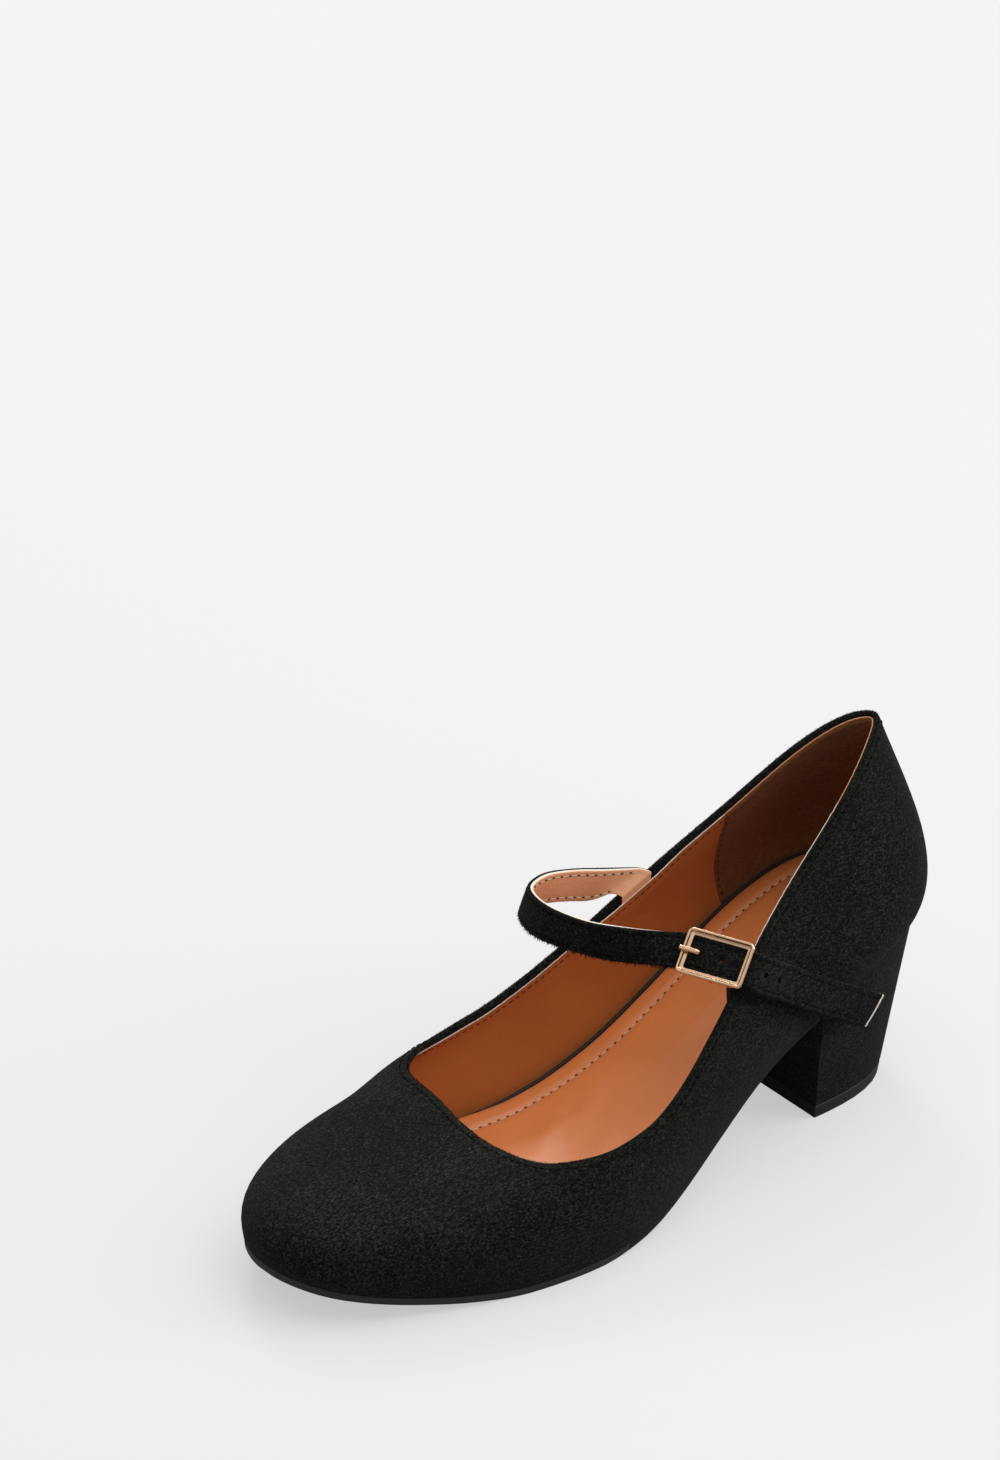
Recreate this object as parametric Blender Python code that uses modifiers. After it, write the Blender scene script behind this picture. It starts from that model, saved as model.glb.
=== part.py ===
"""A women's mary jane pump for the left foot: suede upper on a round-toed last, block heel, buckled strap.

Metres, +Z up. The toe points along -Y and the outer side of the foot faces +X. The shoe stands on
Z = 0, and the origin lies on the floor under the middle of the shoe's box.
"""

import bmesh
import bpy
import numpy as np
from mathutils import Matrix, Vector

# Last
LENGTH = 0.240
BALL_WIDTH = 0.083
TOE_SPRING = 0.012
SEAT_HEIGHT = 0.0551
QUARTER_HEIGHT = 0.059
TOE_SHIFT = 0.0036
THROAT_SHIFT = 0.002
WALL = 0.002
GAP = 0.0003

# Bottom pieces
OUTSOLE_THICKNESS = 0.0025
OUTSOLE_INSET = 0.0004
FOOTBED_THICKNESS = 0.003
FOOTBED_CLEARANCE = 0.0007
SOCK_THICKNESS = 0.0012
SOCK_INSET = 0.0012
TIP_FLAT = 0.0002

# Heel
SEAT_LENGTH = 0.053
HEEL_INSET = 0.0004
BASE_LENGTH = 0.0383
BASE_WIDTH = 0.0493
BASE_SHIFT = 0.0009
HEEL_LEAN = 0.0108
BASE_ROUNDNESS = 2.7
LIFT_THICKNESS = 0.0045

# Strap and buckle
STRAP_THICKNESS = 0.0018
WEAVE = 0.0008
HOLE_DIAMETER = 0.0024
HOLE_PITCH = 0.007
HOLE_COUNT = 5
FRAME_LENGTH = 0.0212
FRAME_WIDTH = 0.0145
FRAME_CORNER = 0.0016
FRAME_WIRE = 0.0017
CENTRE_WIRE = 0.0012
PRONG_WIRE = 0.0011
ELASTIC_WIDTH = 0.0092
ELASTIC_THICKNESS = 0.0007
ELASTIC_DEPTH = 0.008
ELASTIC_SKEW = 0.75
BUCKLE_CLEARANCE = 0.0007

# Shape factors: the wall under the buckle leans, so a level step across it is longer than its
# thickness, and above TURN_SPAN from the feather line the wall arrives straight from it
WALL_LEAN = 1.05
TURN_SPAN = 0.03
FOOT_WEIGHT = 0.6

# Mesh counts
AROUND = 96
UP = 13
PLATE_ALONG = 44
PLATE_ACROSS = 8
HEEL_CUTS = 13
LIFT_CUTS = 9
STRAP_ALONG = 96
STRAP_ACROSS = 4
ELASTIC_ACROSS = 8
DENSE = 480
SHARP_ANGLE = 40
ROW_STEP = 0.01

# The underside, from the toe tip to the heel back:
# along in shares of LENGTH, then height in shares of TOE_SPRING and of SEAT_HEIGHT
UNDERSIDE = (
    (0.00, 1.00, 0.000),
    (0.05, 0.73, 0.000),
    (0.12, 0.42, 0.000),
    (0.20, 0.13, 0.000),
    (0.27, 0.00, 0.000),
    (0.37, 0.00, 0.000),
    (0.45, 0.00, 0.040),
    (0.52, 0.00, 0.135),
    (0.60, 0.00, 0.303),
    (0.68, 0.00, 0.508),
    (0.76, 0.00, 0.684),
    (0.84, 0.00, 0.813),
    (0.92, 0.00, 0.921),
    (1.00, 0.00, 1.000),
)

# The feather line, where the upper meets the sole, one row per section from the toe to the heel back:
# along in shares of LENGTH, then outer and inner half widths in shares of BALL_WIDTH
FEATHER = (
    (0.000, 0.000, 0.000),
    (0.022, 0.178, 0.202),
    (0.075, 0.303, 0.343),
    (0.155, 0.402, 0.433),
    (0.250, 0.485, 0.467),
    (0.360, 0.529, 0.449),
    (0.470, 0.501, 0.378),
    (0.580, 0.418, 0.313),
    (0.700, 0.354, 0.295),
    (0.820, 0.352, 0.330),
    (0.915, 0.313, 0.308),
    (0.975, 0.195, 0.200),
    (1.000, 0.000, 0.000),
)

# The topline over the same sections: along outer and inner in shares of LENGTH, half widths outer and
# inner in shares of BALL_WIDTH, heights above the feather line outer and inner in shares of QUARTER_HEIGHT
TOPLINE = (
    (0.301, 0.301, 0.000, 0.000, 0.348, 0.348),
    (0.299, 0.305, 0.071, 0.092, 0.363, 0.380),
    (0.300, 0.310, 0.154, 0.177, 0.411, 0.436),
    (0.307, 0.314, 0.254, 0.276, 0.476, 0.501),
    (0.326, 0.326, 0.364, 0.372, 0.530, 0.549),
    (0.375, 0.369, 0.466, 0.433, 0.567, 0.579),
    (0.470, 0.461, 0.481, 0.427, 0.572, 0.599),
    (0.569, 0.563, 0.408, 0.380, 0.607, 0.624),
    (0.672, 0.671, 0.312, 0.311, 0.646, 0.648),
    (0.785, 0.787, 0.218, 0.234, 0.758, 0.750),
    (0.872, 0.873, 0.155, 0.160, 0.892, 0.885),
    (0.929, 0.930, 0.073, 0.078, 0.966, 0.971),
    (0.953, 0.953, 0.000, 0.000, 0.974, 0.974),
)

# How each section's wall curves between the two lines: it leaves the feather line by rise (share of the
# wall's height) and swell (share of BALL_WIDTH), and it meets the topline by reach (share of LENGTH)
# and drop (share of the wall's height)
WALL_CURVE = (
    (0.979, 0.061, 0.214, 0.231),
    (0.917, 0.061, 0.204, 0.216),
    (0.804, 0.055, 0.184, 0.190),
    (0.697, 0.049, 0.146, 0.164),
    (0.595, 0.049, 0.083, 0.191),
    (0.527, 0.049, 0.035, 0.220),
    (0.453, 0.049, 0.017, 0.340),
    (0.402, 0.049, 0.013, 0.350),
    (0.382, 0.062, 0.013, 0.384),
    (0.351, 0.082, 0.021, 0.409),
    (0.264, 0.105, 0.029, 0.397),
    (0.242, 0.120, 0.033, 0.364),
    (0.241, 0.120, 0.033, 0.363),
)

# The strap's upper and lower edge from its root to its square end, chosen by hand: across in shares of
# BALL_WIDTH, along in shares of LENGTH, height above the feather line at INSTEP in shares of QUARTER_HEIGHT
INSTEP = 0.655
STRAP_EDGES = (
    (-0.297, 0.679, 0.792, -0.330, 0.641, 0.684),
    (-0.365, 0.633, 0.807, -0.395, 0.619, 0.631),
    (-0.417, 0.601, 0.817, -0.433, 0.592, 0.641),
    (-0.450, 0.570, 0.824, -0.466, 0.566, 0.647),
    (-0.447, 0.546, 0.827, -0.477, 0.542, 0.651),
    (-0.414, 0.526, 0.831, -0.443, 0.521, 0.654),
    (-0.342, 0.517, 0.831, -0.350, 0.507, 0.654),
    (-0.245, 0.518, 0.831, -0.252, 0.509, 0.654),
    (-0.123, 0.533, 0.827, -0.130, 0.526, 0.651),
    (-0.022, 0.564, 0.815, -0.015, 0.550, 0.647),
    (0.062, 0.600, 0.797, 0.090, 0.578, 0.654),
    (0.106, 0.622, 0.784, 0.152, 0.594, 0.658),
    (0.225, 0.642, 0.782, 0.272, 0.612, 0.659),
    (0.344, 0.660, 0.783, 0.388, 0.630, 0.658),
    (0.369, 0.679, 0.734, 0.399, 0.652, 0.590),
    (0.362, 0.712, 0.644, 0.390, 0.683, 0.505),
    (0.380, 0.760, 0.510, 0.398, 0.735, 0.364),
    (0.394, 0.803, 0.405, 0.403, 0.777, 0.259),
    (0.406, 0.858, 0.265, 0.411, 0.828, 0.125),
)
LEFT_BAR = 11
CENTRE_BAR = 12
RIGHT_BAR = 13

# The elastic's two legs near the centre bar: along the strap and inward, in shares of its loop's radius
ELASTIC_ARRIVES = ((3.4, 0.0), (2.0, -0.75))
ELASTIC_LEAVES = ((2.0, 1.05), (3.0, 1.5))

# The prong's hook round the centre bar, from its tip to where it leaves, in shares of a half turn
HOOK_START = -0.1
HOOK_END = 0.6


def clear_scene():
    for item in list(bpy.data.objects):
        bpy.data.objects.remove(item, do_unlink=True)


def collection_named(name):
    made = bpy.data.collections.new(name)
    bpy.context.scene.collection.children.link(made)
    return made


def material(name, colour, roughness, metallic=0.0):
    made = bpy.data.materials.new(name)
    made.use_nodes = True
    surface = made.node_tree.nodes["Principled BSDF"]
    surface.inputs["Base Color"].default_value = (*colour, 1.0)
    surface.inputs["Roughness"].default_value = roughness
    surface.inputs["Metallic"].default_value = metallic
    return made


def finish_object(name, mesh, surface, owner, parent):
    """Put a mesh in the scene as one named, smoothly shaded piece."""
    piece = bpy.data.objects.new(name, mesh)
    owner.objects.link(piece)
    piece.parent = parent
    mesh.materials.append(surface)
    mesh.shade_smooth()
    mesh.set_sharp_from_angle(angle=np.radians(SHARP_ANGLE))
    return piece


def closed_spline(times, period, keys, at):
    """Smooth closed curve through the keys, which are rows of any number of values."""
    count = len(times)
    step = np.diff(np.append(times, times[0] + period))
    slope = (np.roll(keys, -1, axis=0) - keys) / step[:, None]
    system = np.zeros((count, count))
    known = np.zeros_like(keys)
    for row in range(count):
        before, after = step[row - 1], step[row]
        system[row, row - 1] += after
        system[row, row] += 2 * (before + after)
        system[row, (row + 1) % count] += before
        known[row] = 3 * (after * slope[row - 1] + before * slope[row])
    tangent = np.linalg.solve(system, known)
    at = np.mod(at - times[0], period) + times[0]
    index = np.clip(np.searchsorted(times, at, side="right") - 1, 0, count - 1)
    return hermite(
        (at - times[index]) / step[index],
        step[index],
        keys[index],
        keys[(index + 1) % count],
        tangent[index],
        tangent[(index + 1) % count],
    )


def hermite(share, step, start, end, leave, arrive):
    share = share[:, None]
    step = step[:, None]
    square = share**2
    cube = share**3
    return (
        (2 * cube - 3 * square + 1) * start
        + (cube - 2 * square + share) * step * leave
        + (3 * square - 2 * cube) * end
        + (cube - square) * step * arrive
    )


def monotone_curve(places, values, at):
    """Curve through the values that never overshoots them, so equal neighbours give an exact flat."""
    step = np.diff(places)
    slope = np.diff(values) / step
    tangent = np.zeros(len(places))
    tangent[0] = slope[0]
    tangent[-1] = slope[-1]
    for row in range(1, len(places) - 1):
        before, after = slope[row - 1], slope[row]
        if before * after > 0:
            weight = step[row - 1] + 2 * step[row]
            other = 2 * step[row - 1] + step[row]
            tangent[row] = (weight + other) / (other / before + weight / after)
    at = np.clip(at, places[0], places[-1])
    index = np.clip(np.searchsorted(places, at, side="right") - 1, 0, len(places) - 2)
    curve = hermite(
        (at - places[index]) / step[index],
        step[index],
        values[index][:, None],
        values[index + 1][:, None],
        tangent[index][:, None],
        tangent[index + 1][:, None],
    )
    return curve[:, 0]


def board_height(along):
    """Height of the feather line over the floor at a distance from the toe tip."""
    table = np.array(UNDERSIDE)
    heights = table[:, 1] * TOE_SPRING + table[:, 2] * SEAT_HEIGHT
    under = monotone_curve(table[:, 0] * LENGTH, heights, np.atleast_1d(along))
    return under + OUTSOLE_THICKNESS + GAP


def board_slope(along):
    step = LENGTH / 400
    return (board_height(along + step) - board_height(along - step)) / (2 * step)


def board_rise(along, distance):
    """Height over the floor of a layer that lies a distance off the feather line, square to the slope."""
    return board_height(along) + distance * np.sqrt(1 + board_slope(along) ** 2)


def outsole_end():
    """Where the outsole's top ends, so that its square-cut end stays clear of the heel's breast."""
    breast = LENGTH - SEAT_LENGTH
    lean = np.sin(np.arctan(board_slope(breast)[0]))
    return breast - GAP - (OUTSOLE_THICKNESS + GAP) * lean


def section_keys():
    """One row per section, round the last: foot x y, topline x y, wall height, rise, swell, reach, drop."""
    rows = []
    last = len(FEATHER) - 1
    outer = [(index, 1) for index in range(last + 1)]
    inner = [(index, -1) for index in range(last - 1, 0, -1)]
    for index, side in outer + inner:
        along, foot_outer, foot_inner = FEATHER[index]
        top = TOPLINE[index]
        pick = 0 if side > 0 else 1
        rise, swell, reach, drop = WALL_CURVE[index]
        foot_shift = -TOE_SHIFT if index == 0 else 0.0
        top_shift = -THROAT_SHIFT if index == 0 else 0.0
        half = foot_outer if side > 0 else foot_inner
        rows.append(
            (
                side * half * BALL_WIDTH + foot_shift,
                along * LENGTH,
                side * top[2 + pick] * BALL_WIDTH + top_shift,
                top[pick] * LENGTH,
                top[4 + pick] * QUARTER_HEIGHT,
                rise,
                swell * BALL_WIDTH,
                reach * LENGTH,
                drop,
            )
        )
    return np.array(rows)


def ring_values(count):
    """The section values read at count places round the last, from the toe tip by the outer side."""
    keys = section_keys()
    foot_step = np.linalg.norm(np.roll(keys[:, :2], -1, axis=0) - keys[:, :2], axis=1)
    top_step = np.linalg.norm(np.roll(keys[:, 2:4], -1, axis=0) - keys[:, 2:4], axis=1)
    step = FOOT_WEIGHT * foot_step + (1 - FOOT_WEIGHT) * top_step
    times = np.concatenate([[0.0], np.cumsum(step)[:-1]])
    period = step.sum()
    return closed_spline(times, period, keys, np.linspace(0, period, count, endpoint=False))


def outward(line):
    """Unit normals in plan of a closed line that runs counterclockwise seen from above."""
    along = np.roll(line, -1, axis=0) - np.roll(line, 1, axis=0)
    along /= np.linalg.norm(along, axis=1)[:, None]
    return np.stack([along[:, 1], -along[:, 0]], axis=1)


def last_surface(around, up):
    """Points of the upper's outer face, by section round the last and by step from sole to topline."""
    values = ring_values(around)
    foot = values[:, 0:2]
    top = values[:, 2:4]
    height = values[:, 4:5]
    low = board_height(foot[:, 1])[:, None]
    start = np.hstack([foot, low])
    end = np.hstack([top, low + height])
    leave = start + np.hstack([outward(foot) * values[:, 6:7], values[:, 5:6] * height])
    span = foot - top
    distance = np.linalg.norm(span, axis=1)[:, None]
    share = np.clip(distance / TURN_SPAN, 0, 1)
    towards = outward(top) * (1 - share) + span / distance * share
    towards /= np.linalg.norm(towards, axis=1)[:, None]
    arrive = end + np.hstack([towards * values[:, 7:8], -values[:, 8:9] * height])
    t = np.linspace(0, 1, up + 1)[None, :, None]
    return (
        (1 - t) ** 3 * start[:, None]
        + 3 * (1 - t) ** 2 * t * leave[:, None]
        + 3 * (1 - t) * t**2 * arrive[:, None]
        + t**3 * end[:, None]
    )


def halves(inset):
    """The feather line moved in by inset, as its outer and its inner half, each in order of y."""
    foot = ring_values(DENSE)[:, 0:2]
    line = foot - outward(foot) * inset
    tip = int(np.argmin(line[:, 1]))
    line = np.roll(line, -tip, axis=0)
    back = int(np.argmax(line[:, 1]))
    outer = line[: back + 1]
    inner = np.vstack([line[back:], line[:1]])[::-1]
    return outer, inner


def across_at(pair, along, share):
    """Point between the inner half (share 0) and the outer half (share 1) of an outline at one y."""
    outer, inner = pair
    right = np.interp(along, outer[:, 1], outer[:, 0])
    left = np.interp(along, inner[:, 1], inner[:, 0])
    return left + (right - left) * share


def thicken(piece, thickness, offset):
    shell = piece.modifiers.new("Thickness", "SOLIDIFY")
    shell.thickness = thickness
    shell.offset = offset
    shell.use_even_offset = True
    return shell


def make_upper(surface, owner, parent):
    points = last_surface(AROUND, UP)
    shape = bmesh.new()
    bmesh.ops.create_cone(shape, cap_ends=False, segments=AROUND, radius1=1, radius2=1, depth=1)
    posts = [edge for edge in shape.edges if abs(edge.verts[0].co.z - edge.verts[1].co.z) > 0.5]
    bmesh.ops.subdivide_edges(shape, edges=posts, cuts=UP - 1)
    for vertex in shape.verts:
        turn = np.arctan2(vertex.co.y, vertex.co.x) / (2 * np.pi)
        section = round(turn * AROUND) % AROUND
        step = round((vertex.co.z + 0.5) * UP)
        vertex.co = Vector(points[section, step])
    mesh = bpy.data.meshes.new("upper")
    shape.to_mesh(mesh)
    shape.free()
    piece = finish_object("upper", mesh, surface, owner, parent)
    thicken(piece, WALL, -1)
    return piece


def make_plate(name, inset, end, clearance, thickness, side, surface, owner, parent):
    """A sheet that follows the last's bottom from the toe to end; side 1 thickens it up, -1 down."""
    pair = halves(inset)
    first = pair[0][0, 1] + TIP_FLAT
    whole = end is None
    last = pair[0][-1, 1] - TIP_FLAT if whole else end
    shape = bmesh.new()
    bmesh.ops.create_grid(shape, x_segments=PLATE_ACROSS, y_segments=PLATE_ALONG, size=0.5)
    for vertex in shape.verts:
        share = vertex.co.y + 0.5
        eased = (1 - np.cos(np.pi * share)) / 2 if whole else 1 - np.cos(np.pi * share / 2)
        along = first + (last - first) * eased
        across = across_at(pair, along, vertex.co.x + 0.5)
        vertex.co = Vector((across, along, board_rise(along, clearance)[0]))
    mesh = bpy.data.meshes.new(name)
    shape.to_mesh(mesh)
    shape.free()
    piece = finish_object(name, mesh, surface, owner, parent)
    thicken(piece, thickness, side)
    return piece


def base_half_width(share):
    """Half width of the heel's base in shares of its greatest, from the breast to the back."""
    return (1 - share**BASE_ROUNDNESS) ** (1 / BASE_ROUNDNESS)


def heel_place(pair, across, back, height):
    """Point of the heel: across and back run over its outline, and height is over the floor or None."""
    eased = np.sin(back * np.pi / 2)
    breast = LENGTH - SEAT_LENGTH
    top_y = breast + (pair[0][-1, 1] - TIP_FLAT - breast) * eased
    top_x = across_at(pair, top_y, across)
    top_z = board_height(top_y)[0] - GAP
    base_back = LENGTH - HEEL_LEAN
    share = eased * (1 - TIP_FLAT / BASE_LENGTH)
    base_y = base_back - BASE_LENGTH * (1 - share)
    base_x = (across - 0.5) * BASE_WIDTH * base_half_width(share) - BASE_SHIFT
    level = top_z if height is None else height
    fall = 1 - level / top_z
    return Vector((top_x + (base_x - top_x) * fall, top_y + (base_y - top_y) * fall, level))


def make_heel_piece(name, cuts, low, high, surface, owner, parent):
    """A slice of the heel between two heights; a high of None follows the seat."""
    pair = halves(HEEL_INSET)
    shape = bmesh.new()
    bmesh.ops.create_cube(shape, size=1)
    bmesh.ops.subdivide_edges(shape, edges=shape.edges[:], cuts=cuts, use_grid_fill=True)
    for vertex in shape.verts:
        across, back, up = vertex.co.x + 0.5, vertex.co.y + 0.5, vertex.co.z + 0.5
        top = heel_place(pair, across, back, high).z
        vertex.co = heel_place(pair, across, back, low + (top - low) * up)
    mesh = bpy.data.meshes.new(name)
    shape.to_mesh(mesh)
    shape.free()
    return finish_object(name, mesh, surface, owner, parent)


def strap_places():
    """The strap's edge table in metres: rows of upper edge x y z and lower edge x y z."""
    table = np.array(STRAP_EDGES)
    base = board_height(INSTEP * LENGTH)[0]
    scale = np.array([BALL_WIDTH, LENGTH, QUARTER_HEIGHT])
    lift = np.array([0.0, 0.0, base])
    return np.hstack([table[:, :3] * scale + lift, table[:, 3:] * scale + lift])


def strap_rows(at):
    """The strap's edge points at row numbers that need not be whole, on a smooth curve."""
    rows = strap_places()
    numbers = np.arange(len(rows), dtype=float)
    tangent = np.gradient(rows, axis=0)
    index = np.clip(np.floor(at).astype(int), 0, len(rows) - 2)
    share = at - numbers[index]
    ones = np.ones(len(at))
    return hermite(share, ones, rows[index], rows[index + 1], tangent[index], tangent[index + 1])


def strap_point(row, across):
    """Middle-surface point and outward normal of the strap; across runs 0 to 1, upper to lower edge."""
    ahead = strap_rows(np.array([row - ROW_STEP, row, row + ROW_STEP]))
    point = ahead[1, :3] * (1 - across) + ahead[1, 3:] * across
    travel = (ahead[2] - ahead[0]).reshape(2, 3).mean(axis=0)
    width = ahead[1, 3:] - ahead[1, :3]
    normal = np.cross(width, travel)
    normal /= np.linalg.norm(normal)
    return point + normal * weave(row - CENTRE_BAR), normal


def weave(away):
    """How far the strap stands out over the centre bar, or in under an end bar, by rows from the centre."""
    if abs(away) > 2:
        return 0.0
    return WEAVE * np.cos(np.pi * away) * np.cos(np.pi * away / 4) ** 2


def row_at_distance(start, distance):
    """Row number that lies a distance along the strap's middle from the start row."""
    end = len(STRAP_EDGES) - 1 - ROW_STEP
    rows = np.linspace(start, end if distance > 0 else 1.0, DENSE)
    middle = strap_rows(rows).reshape(-1, 2, 3).mean(axis=1)
    run = np.concatenate([[0.0], np.cumsum(np.linalg.norm(np.diff(middle, axis=0), axis=1))])
    return float(np.interp(abs(distance), run, rows))


def buckle_axes():
    """Centre of the buckle on the strap and its unit axes: along the strap, across it and outward."""
    crown, _ = strap_point(CENTRE_BAR, 0.5)
    left, _ = strap_point(LEFT_BAR, 0.5)
    right, _ = strap_point(RIGHT_BAR, 0.5)
    centre = (left + right) / 4 + crown / 2
    along = (right - left) / np.linalg.norm(right - left)
    rows = strap_rows(np.array([float(CENTRE_BAR)]))[0]
    width = rows[3:] - rows[:3]
    width -= along * width.dot(along)
    width /= np.linalg.norm(width)
    return centre, along, width, np.cross(width, along)


def buckle_frame_matrix():
    centre, along, width, outward_axis = buckle_axes()
    turn = Matrix((along, width, -outward_axis)).transposed().to_4x4()
    return Matrix.Translation(Vector(centre)) @ turn


def make_strap(surface, owner, parent, cutters):
    shape = bmesh.new()
    bmesh.ops.create_grid(shape, x_segments=STRAP_ALONG, y_segments=STRAP_ACROSS, size=0.5)
    last = len(STRAP_EDGES) - 1
    for vertex in shape.verts:
        row = (vertex.co.x + 0.5) * last
        inside = min(max(row, 2 * ROW_STEP), last - 2 * ROW_STEP)
        point, _ = strap_point(inside, vertex.co.y + 0.5)
        vertex.co = Vector(point)
    mesh = bpy.data.meshes.new("strap")
    shape.to_mesh(mesh)
    shape.free()
    piece = finish_object("strap", mesh, surface, owner, parent)
    thicken(piece, STRAP_THICKNESS, 0)
    first = first_hole_row()
    for number in range(HOLE_COUNT):
        row = row_at_distance(first, number * HOLE_PITCH)
        point, normal = strap_point(row, 0.5)
        drill(piece, number, Vector(point), Vector(normal), cutters, parent)
    return piece


def first_hole_row():
    """The prong's hole lies between the left bar and the centre bar, next to the left bar."""
    return row_at_distance(float(CENTRE_BAR), -0.5 * HOLE_PITCH - FRAME_WIRE)


def drill(piece, number, point, normal, cutters, parent):
    shape = bmesh.new()
    bmesh.ops.create_cone(
        shape,
        cap_ends=True,
        segments=16,
        radius1=HOLE_DIAMETER / 2,
        radius2=HOLE_DIAMETER / 2,
        depth=STRAP_THICKNESS * 3,
    )
    mesh = bpy.data.meshes.new(f"hole_{number + 1}")
    shape.to_mesh(mesh)
    shape.free()
    cutter = bpy.data.objects.new(f"hole_{number + 1}", mesh)
    cutters.objects.link(cutter)
    cutter.parent = parent
    cutter.rotation_euler = normal.to_track_quat("Z", "Y").to_euler()
    cutter.location = point
    cutter.hide_render = True
    cutter.display_type = "WIRE"
    cut = piece.modifiers.new(f"Hole {number + 1}", "BOOLEAN")
    cut.operation = "DIFFERENCE"
    cut.solver = "EXACT"
    cut.object = cutter


def wire(name, points, diameter, closed, owner, resolution=2):
    """A round wire through the points, as a curve object."""
    curve = bpy.data.curves.new(name, "CURVE")
    curve.dimensions = "3D"
    curve.bevel_depth = diameter / 2
    curve.bevel_resolution = resolution
    curve.use_fill_caps = True
    line = curve.splines.new("POLY")
    line.points.add(len(points) - 1)
    for point, place in zip(line.points, points):
        point.co = (*place, 1.0)
    line.use_cyclic_u = closed
    made = bpy.data.objects.new(name, curve)
    owner.objects.link(made)
    return made


def as_mesh(source, name, owner):
    """Turn a wire into a mesh object with welded caps."""
    bpy.context.view_layer.update()
    graph = bpy.context.evaluated_depsgraph_get()
    mesh = bpy.data.meshes.new_from_object(source.evaluated_get(graph))
    shape = bmesh.new()
    shape.from_mesh(mesh)
    bmesh.ops.remove_doubles(shape, verts=shape.verts, dist=1e-6)
    bmesh.ops.recalc_face_normals(shape, faces=shape.faces)
    shape.to_mesh(mesh)
    shape.free()
    made = bpy.data.objects.new(name, mesh)
    made.matrix_world = source.matrix_world
    owner.objects.link(made)
    bpy.data.objects.remove(source, do_unlink=True)
    return made


def bar_levels():
    """Levels in the buckle's own frame, where +Z points into the shoe: end bars, centre bar."""
    half = STRAP_THICKNESS / 2 + BUCKLE_CLEARANCE
    end_bar = -(half + FRAME_WIRE / 2) + WEAVE
    centre_bar = half + ELASTIC_THICKNESS + GAP + CENTRE_WIRE / 2 - WEAVE
    return end_bar, centre_bar


def frame_outline(level):
    """Rounded rectangle in the buckle's own plane."""
    half_long = (FRAME_LENGTH - FRAME_WIRE) / 2
    half_wide = (FRAME_WIDTH - FRAME_WIRE) / 2
    points = []
    for turn in range(4):
        sign_x = 1 if turn in (0, 3) else -1
        sign_y = 1 if turn in (0, 1) else -1
        for step in range(5):
            angle = np.pi / 2 * (turn + step / 4)
            x = sign_x * (half_long - FRAME_CORNER) + FRAME_CORNER * np.cos(angle)
            y = sign_y * (half_wide - FRAME_CORNER) + FRAME_CORNER * np.sin(angle)
            points.append((x, y, level))
    return points


def place_on_buckle(item, parent):
    item.parent = parent
    item.matrix_world = buckle_frame_matrix()


def make_buckle_frame(surface, owner, parent, cutters):
    """The rim, with the centre bar hung under its long sides so that the strap lies over it."""
    end_bar, centre_bar = bar_levels()
    rim = as_mesh(wire("rim", frame_outline(end_bar), FRAME_WIRE, True, owner), "buckle_frame", owner)
    half_wide = (FRAME_WIDTH - FRAME_WIRE) / 2
    turn = CENTRE_WIRE / 2
    staple = [
        (0, -half_wide, end_bar),
        (0, -half_wide, centre_bar - turn),
        (0, -half_wide + turn, centre_bar),
        (0, half_wide - turn, centre_bar),
        (0, half_wide, centre_bar - turn),
        (0, half_wide, end_bar),
    ]
    bar = as_mesh(wire("bar", staple, CENTRE_WIRE, False, owner), "centre_bar", cutters)
    for item in (rim, bar):
        place_on_buckle(item, parent)
    bar.hide_render = True
    bar.display_type = "WIRE"
    join = rim.modifiers.new("Centre bar", "BOOLEAN")
    join.operation = "UNION"
    join.solver = "EXACT"
    join.object = bar
    rim.data.materials.clear()
    rim.data.materials.append(surface)
    rim.data.shade_smooth()


def make_prong(surface, owner, parent):
    """A hook round the centre bar that comes up through the first hole and rests on the left bar."""
    end_bar, centre_bar = bar_levels()
    ring = (CENTRE_WIRE + PRONG_WIRE) / 2 + GAP
    hole, _ = strap_point(first_hole_row(), 0.5)
    through = (buckle_frame_matrix().inverted() @ Vector(hole)).x
    rest = end_bar - (FRAME_WIRE + PRONG_WIRE) / 2 - GAP
    points = []
    for angle in np.linspace(HOOK_START, HOOK_END, 6) * np.pi:
        points.append((ring * np.cos(angle), 0.0, centre_bar + ring * np.sin(angle)))
    points += [
        (through + PRONG_WIRE, 0.0, centre_bar + ring / 2),
        (through + PRONG_WIRE / 4, 0.0, centre_bar - ring / 4),
        (through, 0.0, centre_bar - ring),
        (through, 0.0, rest + PRONG_WIRE),
        (through - PRONG_WIRE / 4, 0.0, rest + PRONG_WIRE / 3),
        (through - PRONG_WIRE, 0.0, rest),
        (-FRAME_LENGTH / 2, 0.0, rest),
    ]
    prong = as_mesh(wire("hook", points, PRONG_WIRE, False, owner), "buckle_prong", owner)
    place_on_buckle(prong, parent)
    prong.data.materials.clear()
    prong.data.materials.append(surface)
    prong.data.shade_smooth()


def inner_wall(along, depth, clearance):
    """Point off the inner face of the outer wall, below the topline point that has this y."""
    points = last_surface(AROUND, UP)
    top = points[:, -1]
    outer = np.where((top[:, 0] > 0) & (np.arange(AROUND) < AROUND // 2))[0]
    section = np.interp(along, top[outer, 1], outer)
    low = int(np.floor(section))
    share = section - low
    rib = points[low] * (1 - share) + points[low + 1] * share
    normals = outward(top[:, :2])
    normal = normals[low] * (1 - share) + normals[low + 1] * share
    height = rib[-1, 2] - depth
    x = np.interp(height, rib[:, 2], rib[:, 0])
    y = np.interp(height, rib[:, 2], rib[:, 1])
    inward = -(WALL + clearance + ELASTIC_THICKNESS / 2) * WALL_LEAN
    return np.array([x + normal[0] * inward, y + normal[1] * inward, height])


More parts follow.
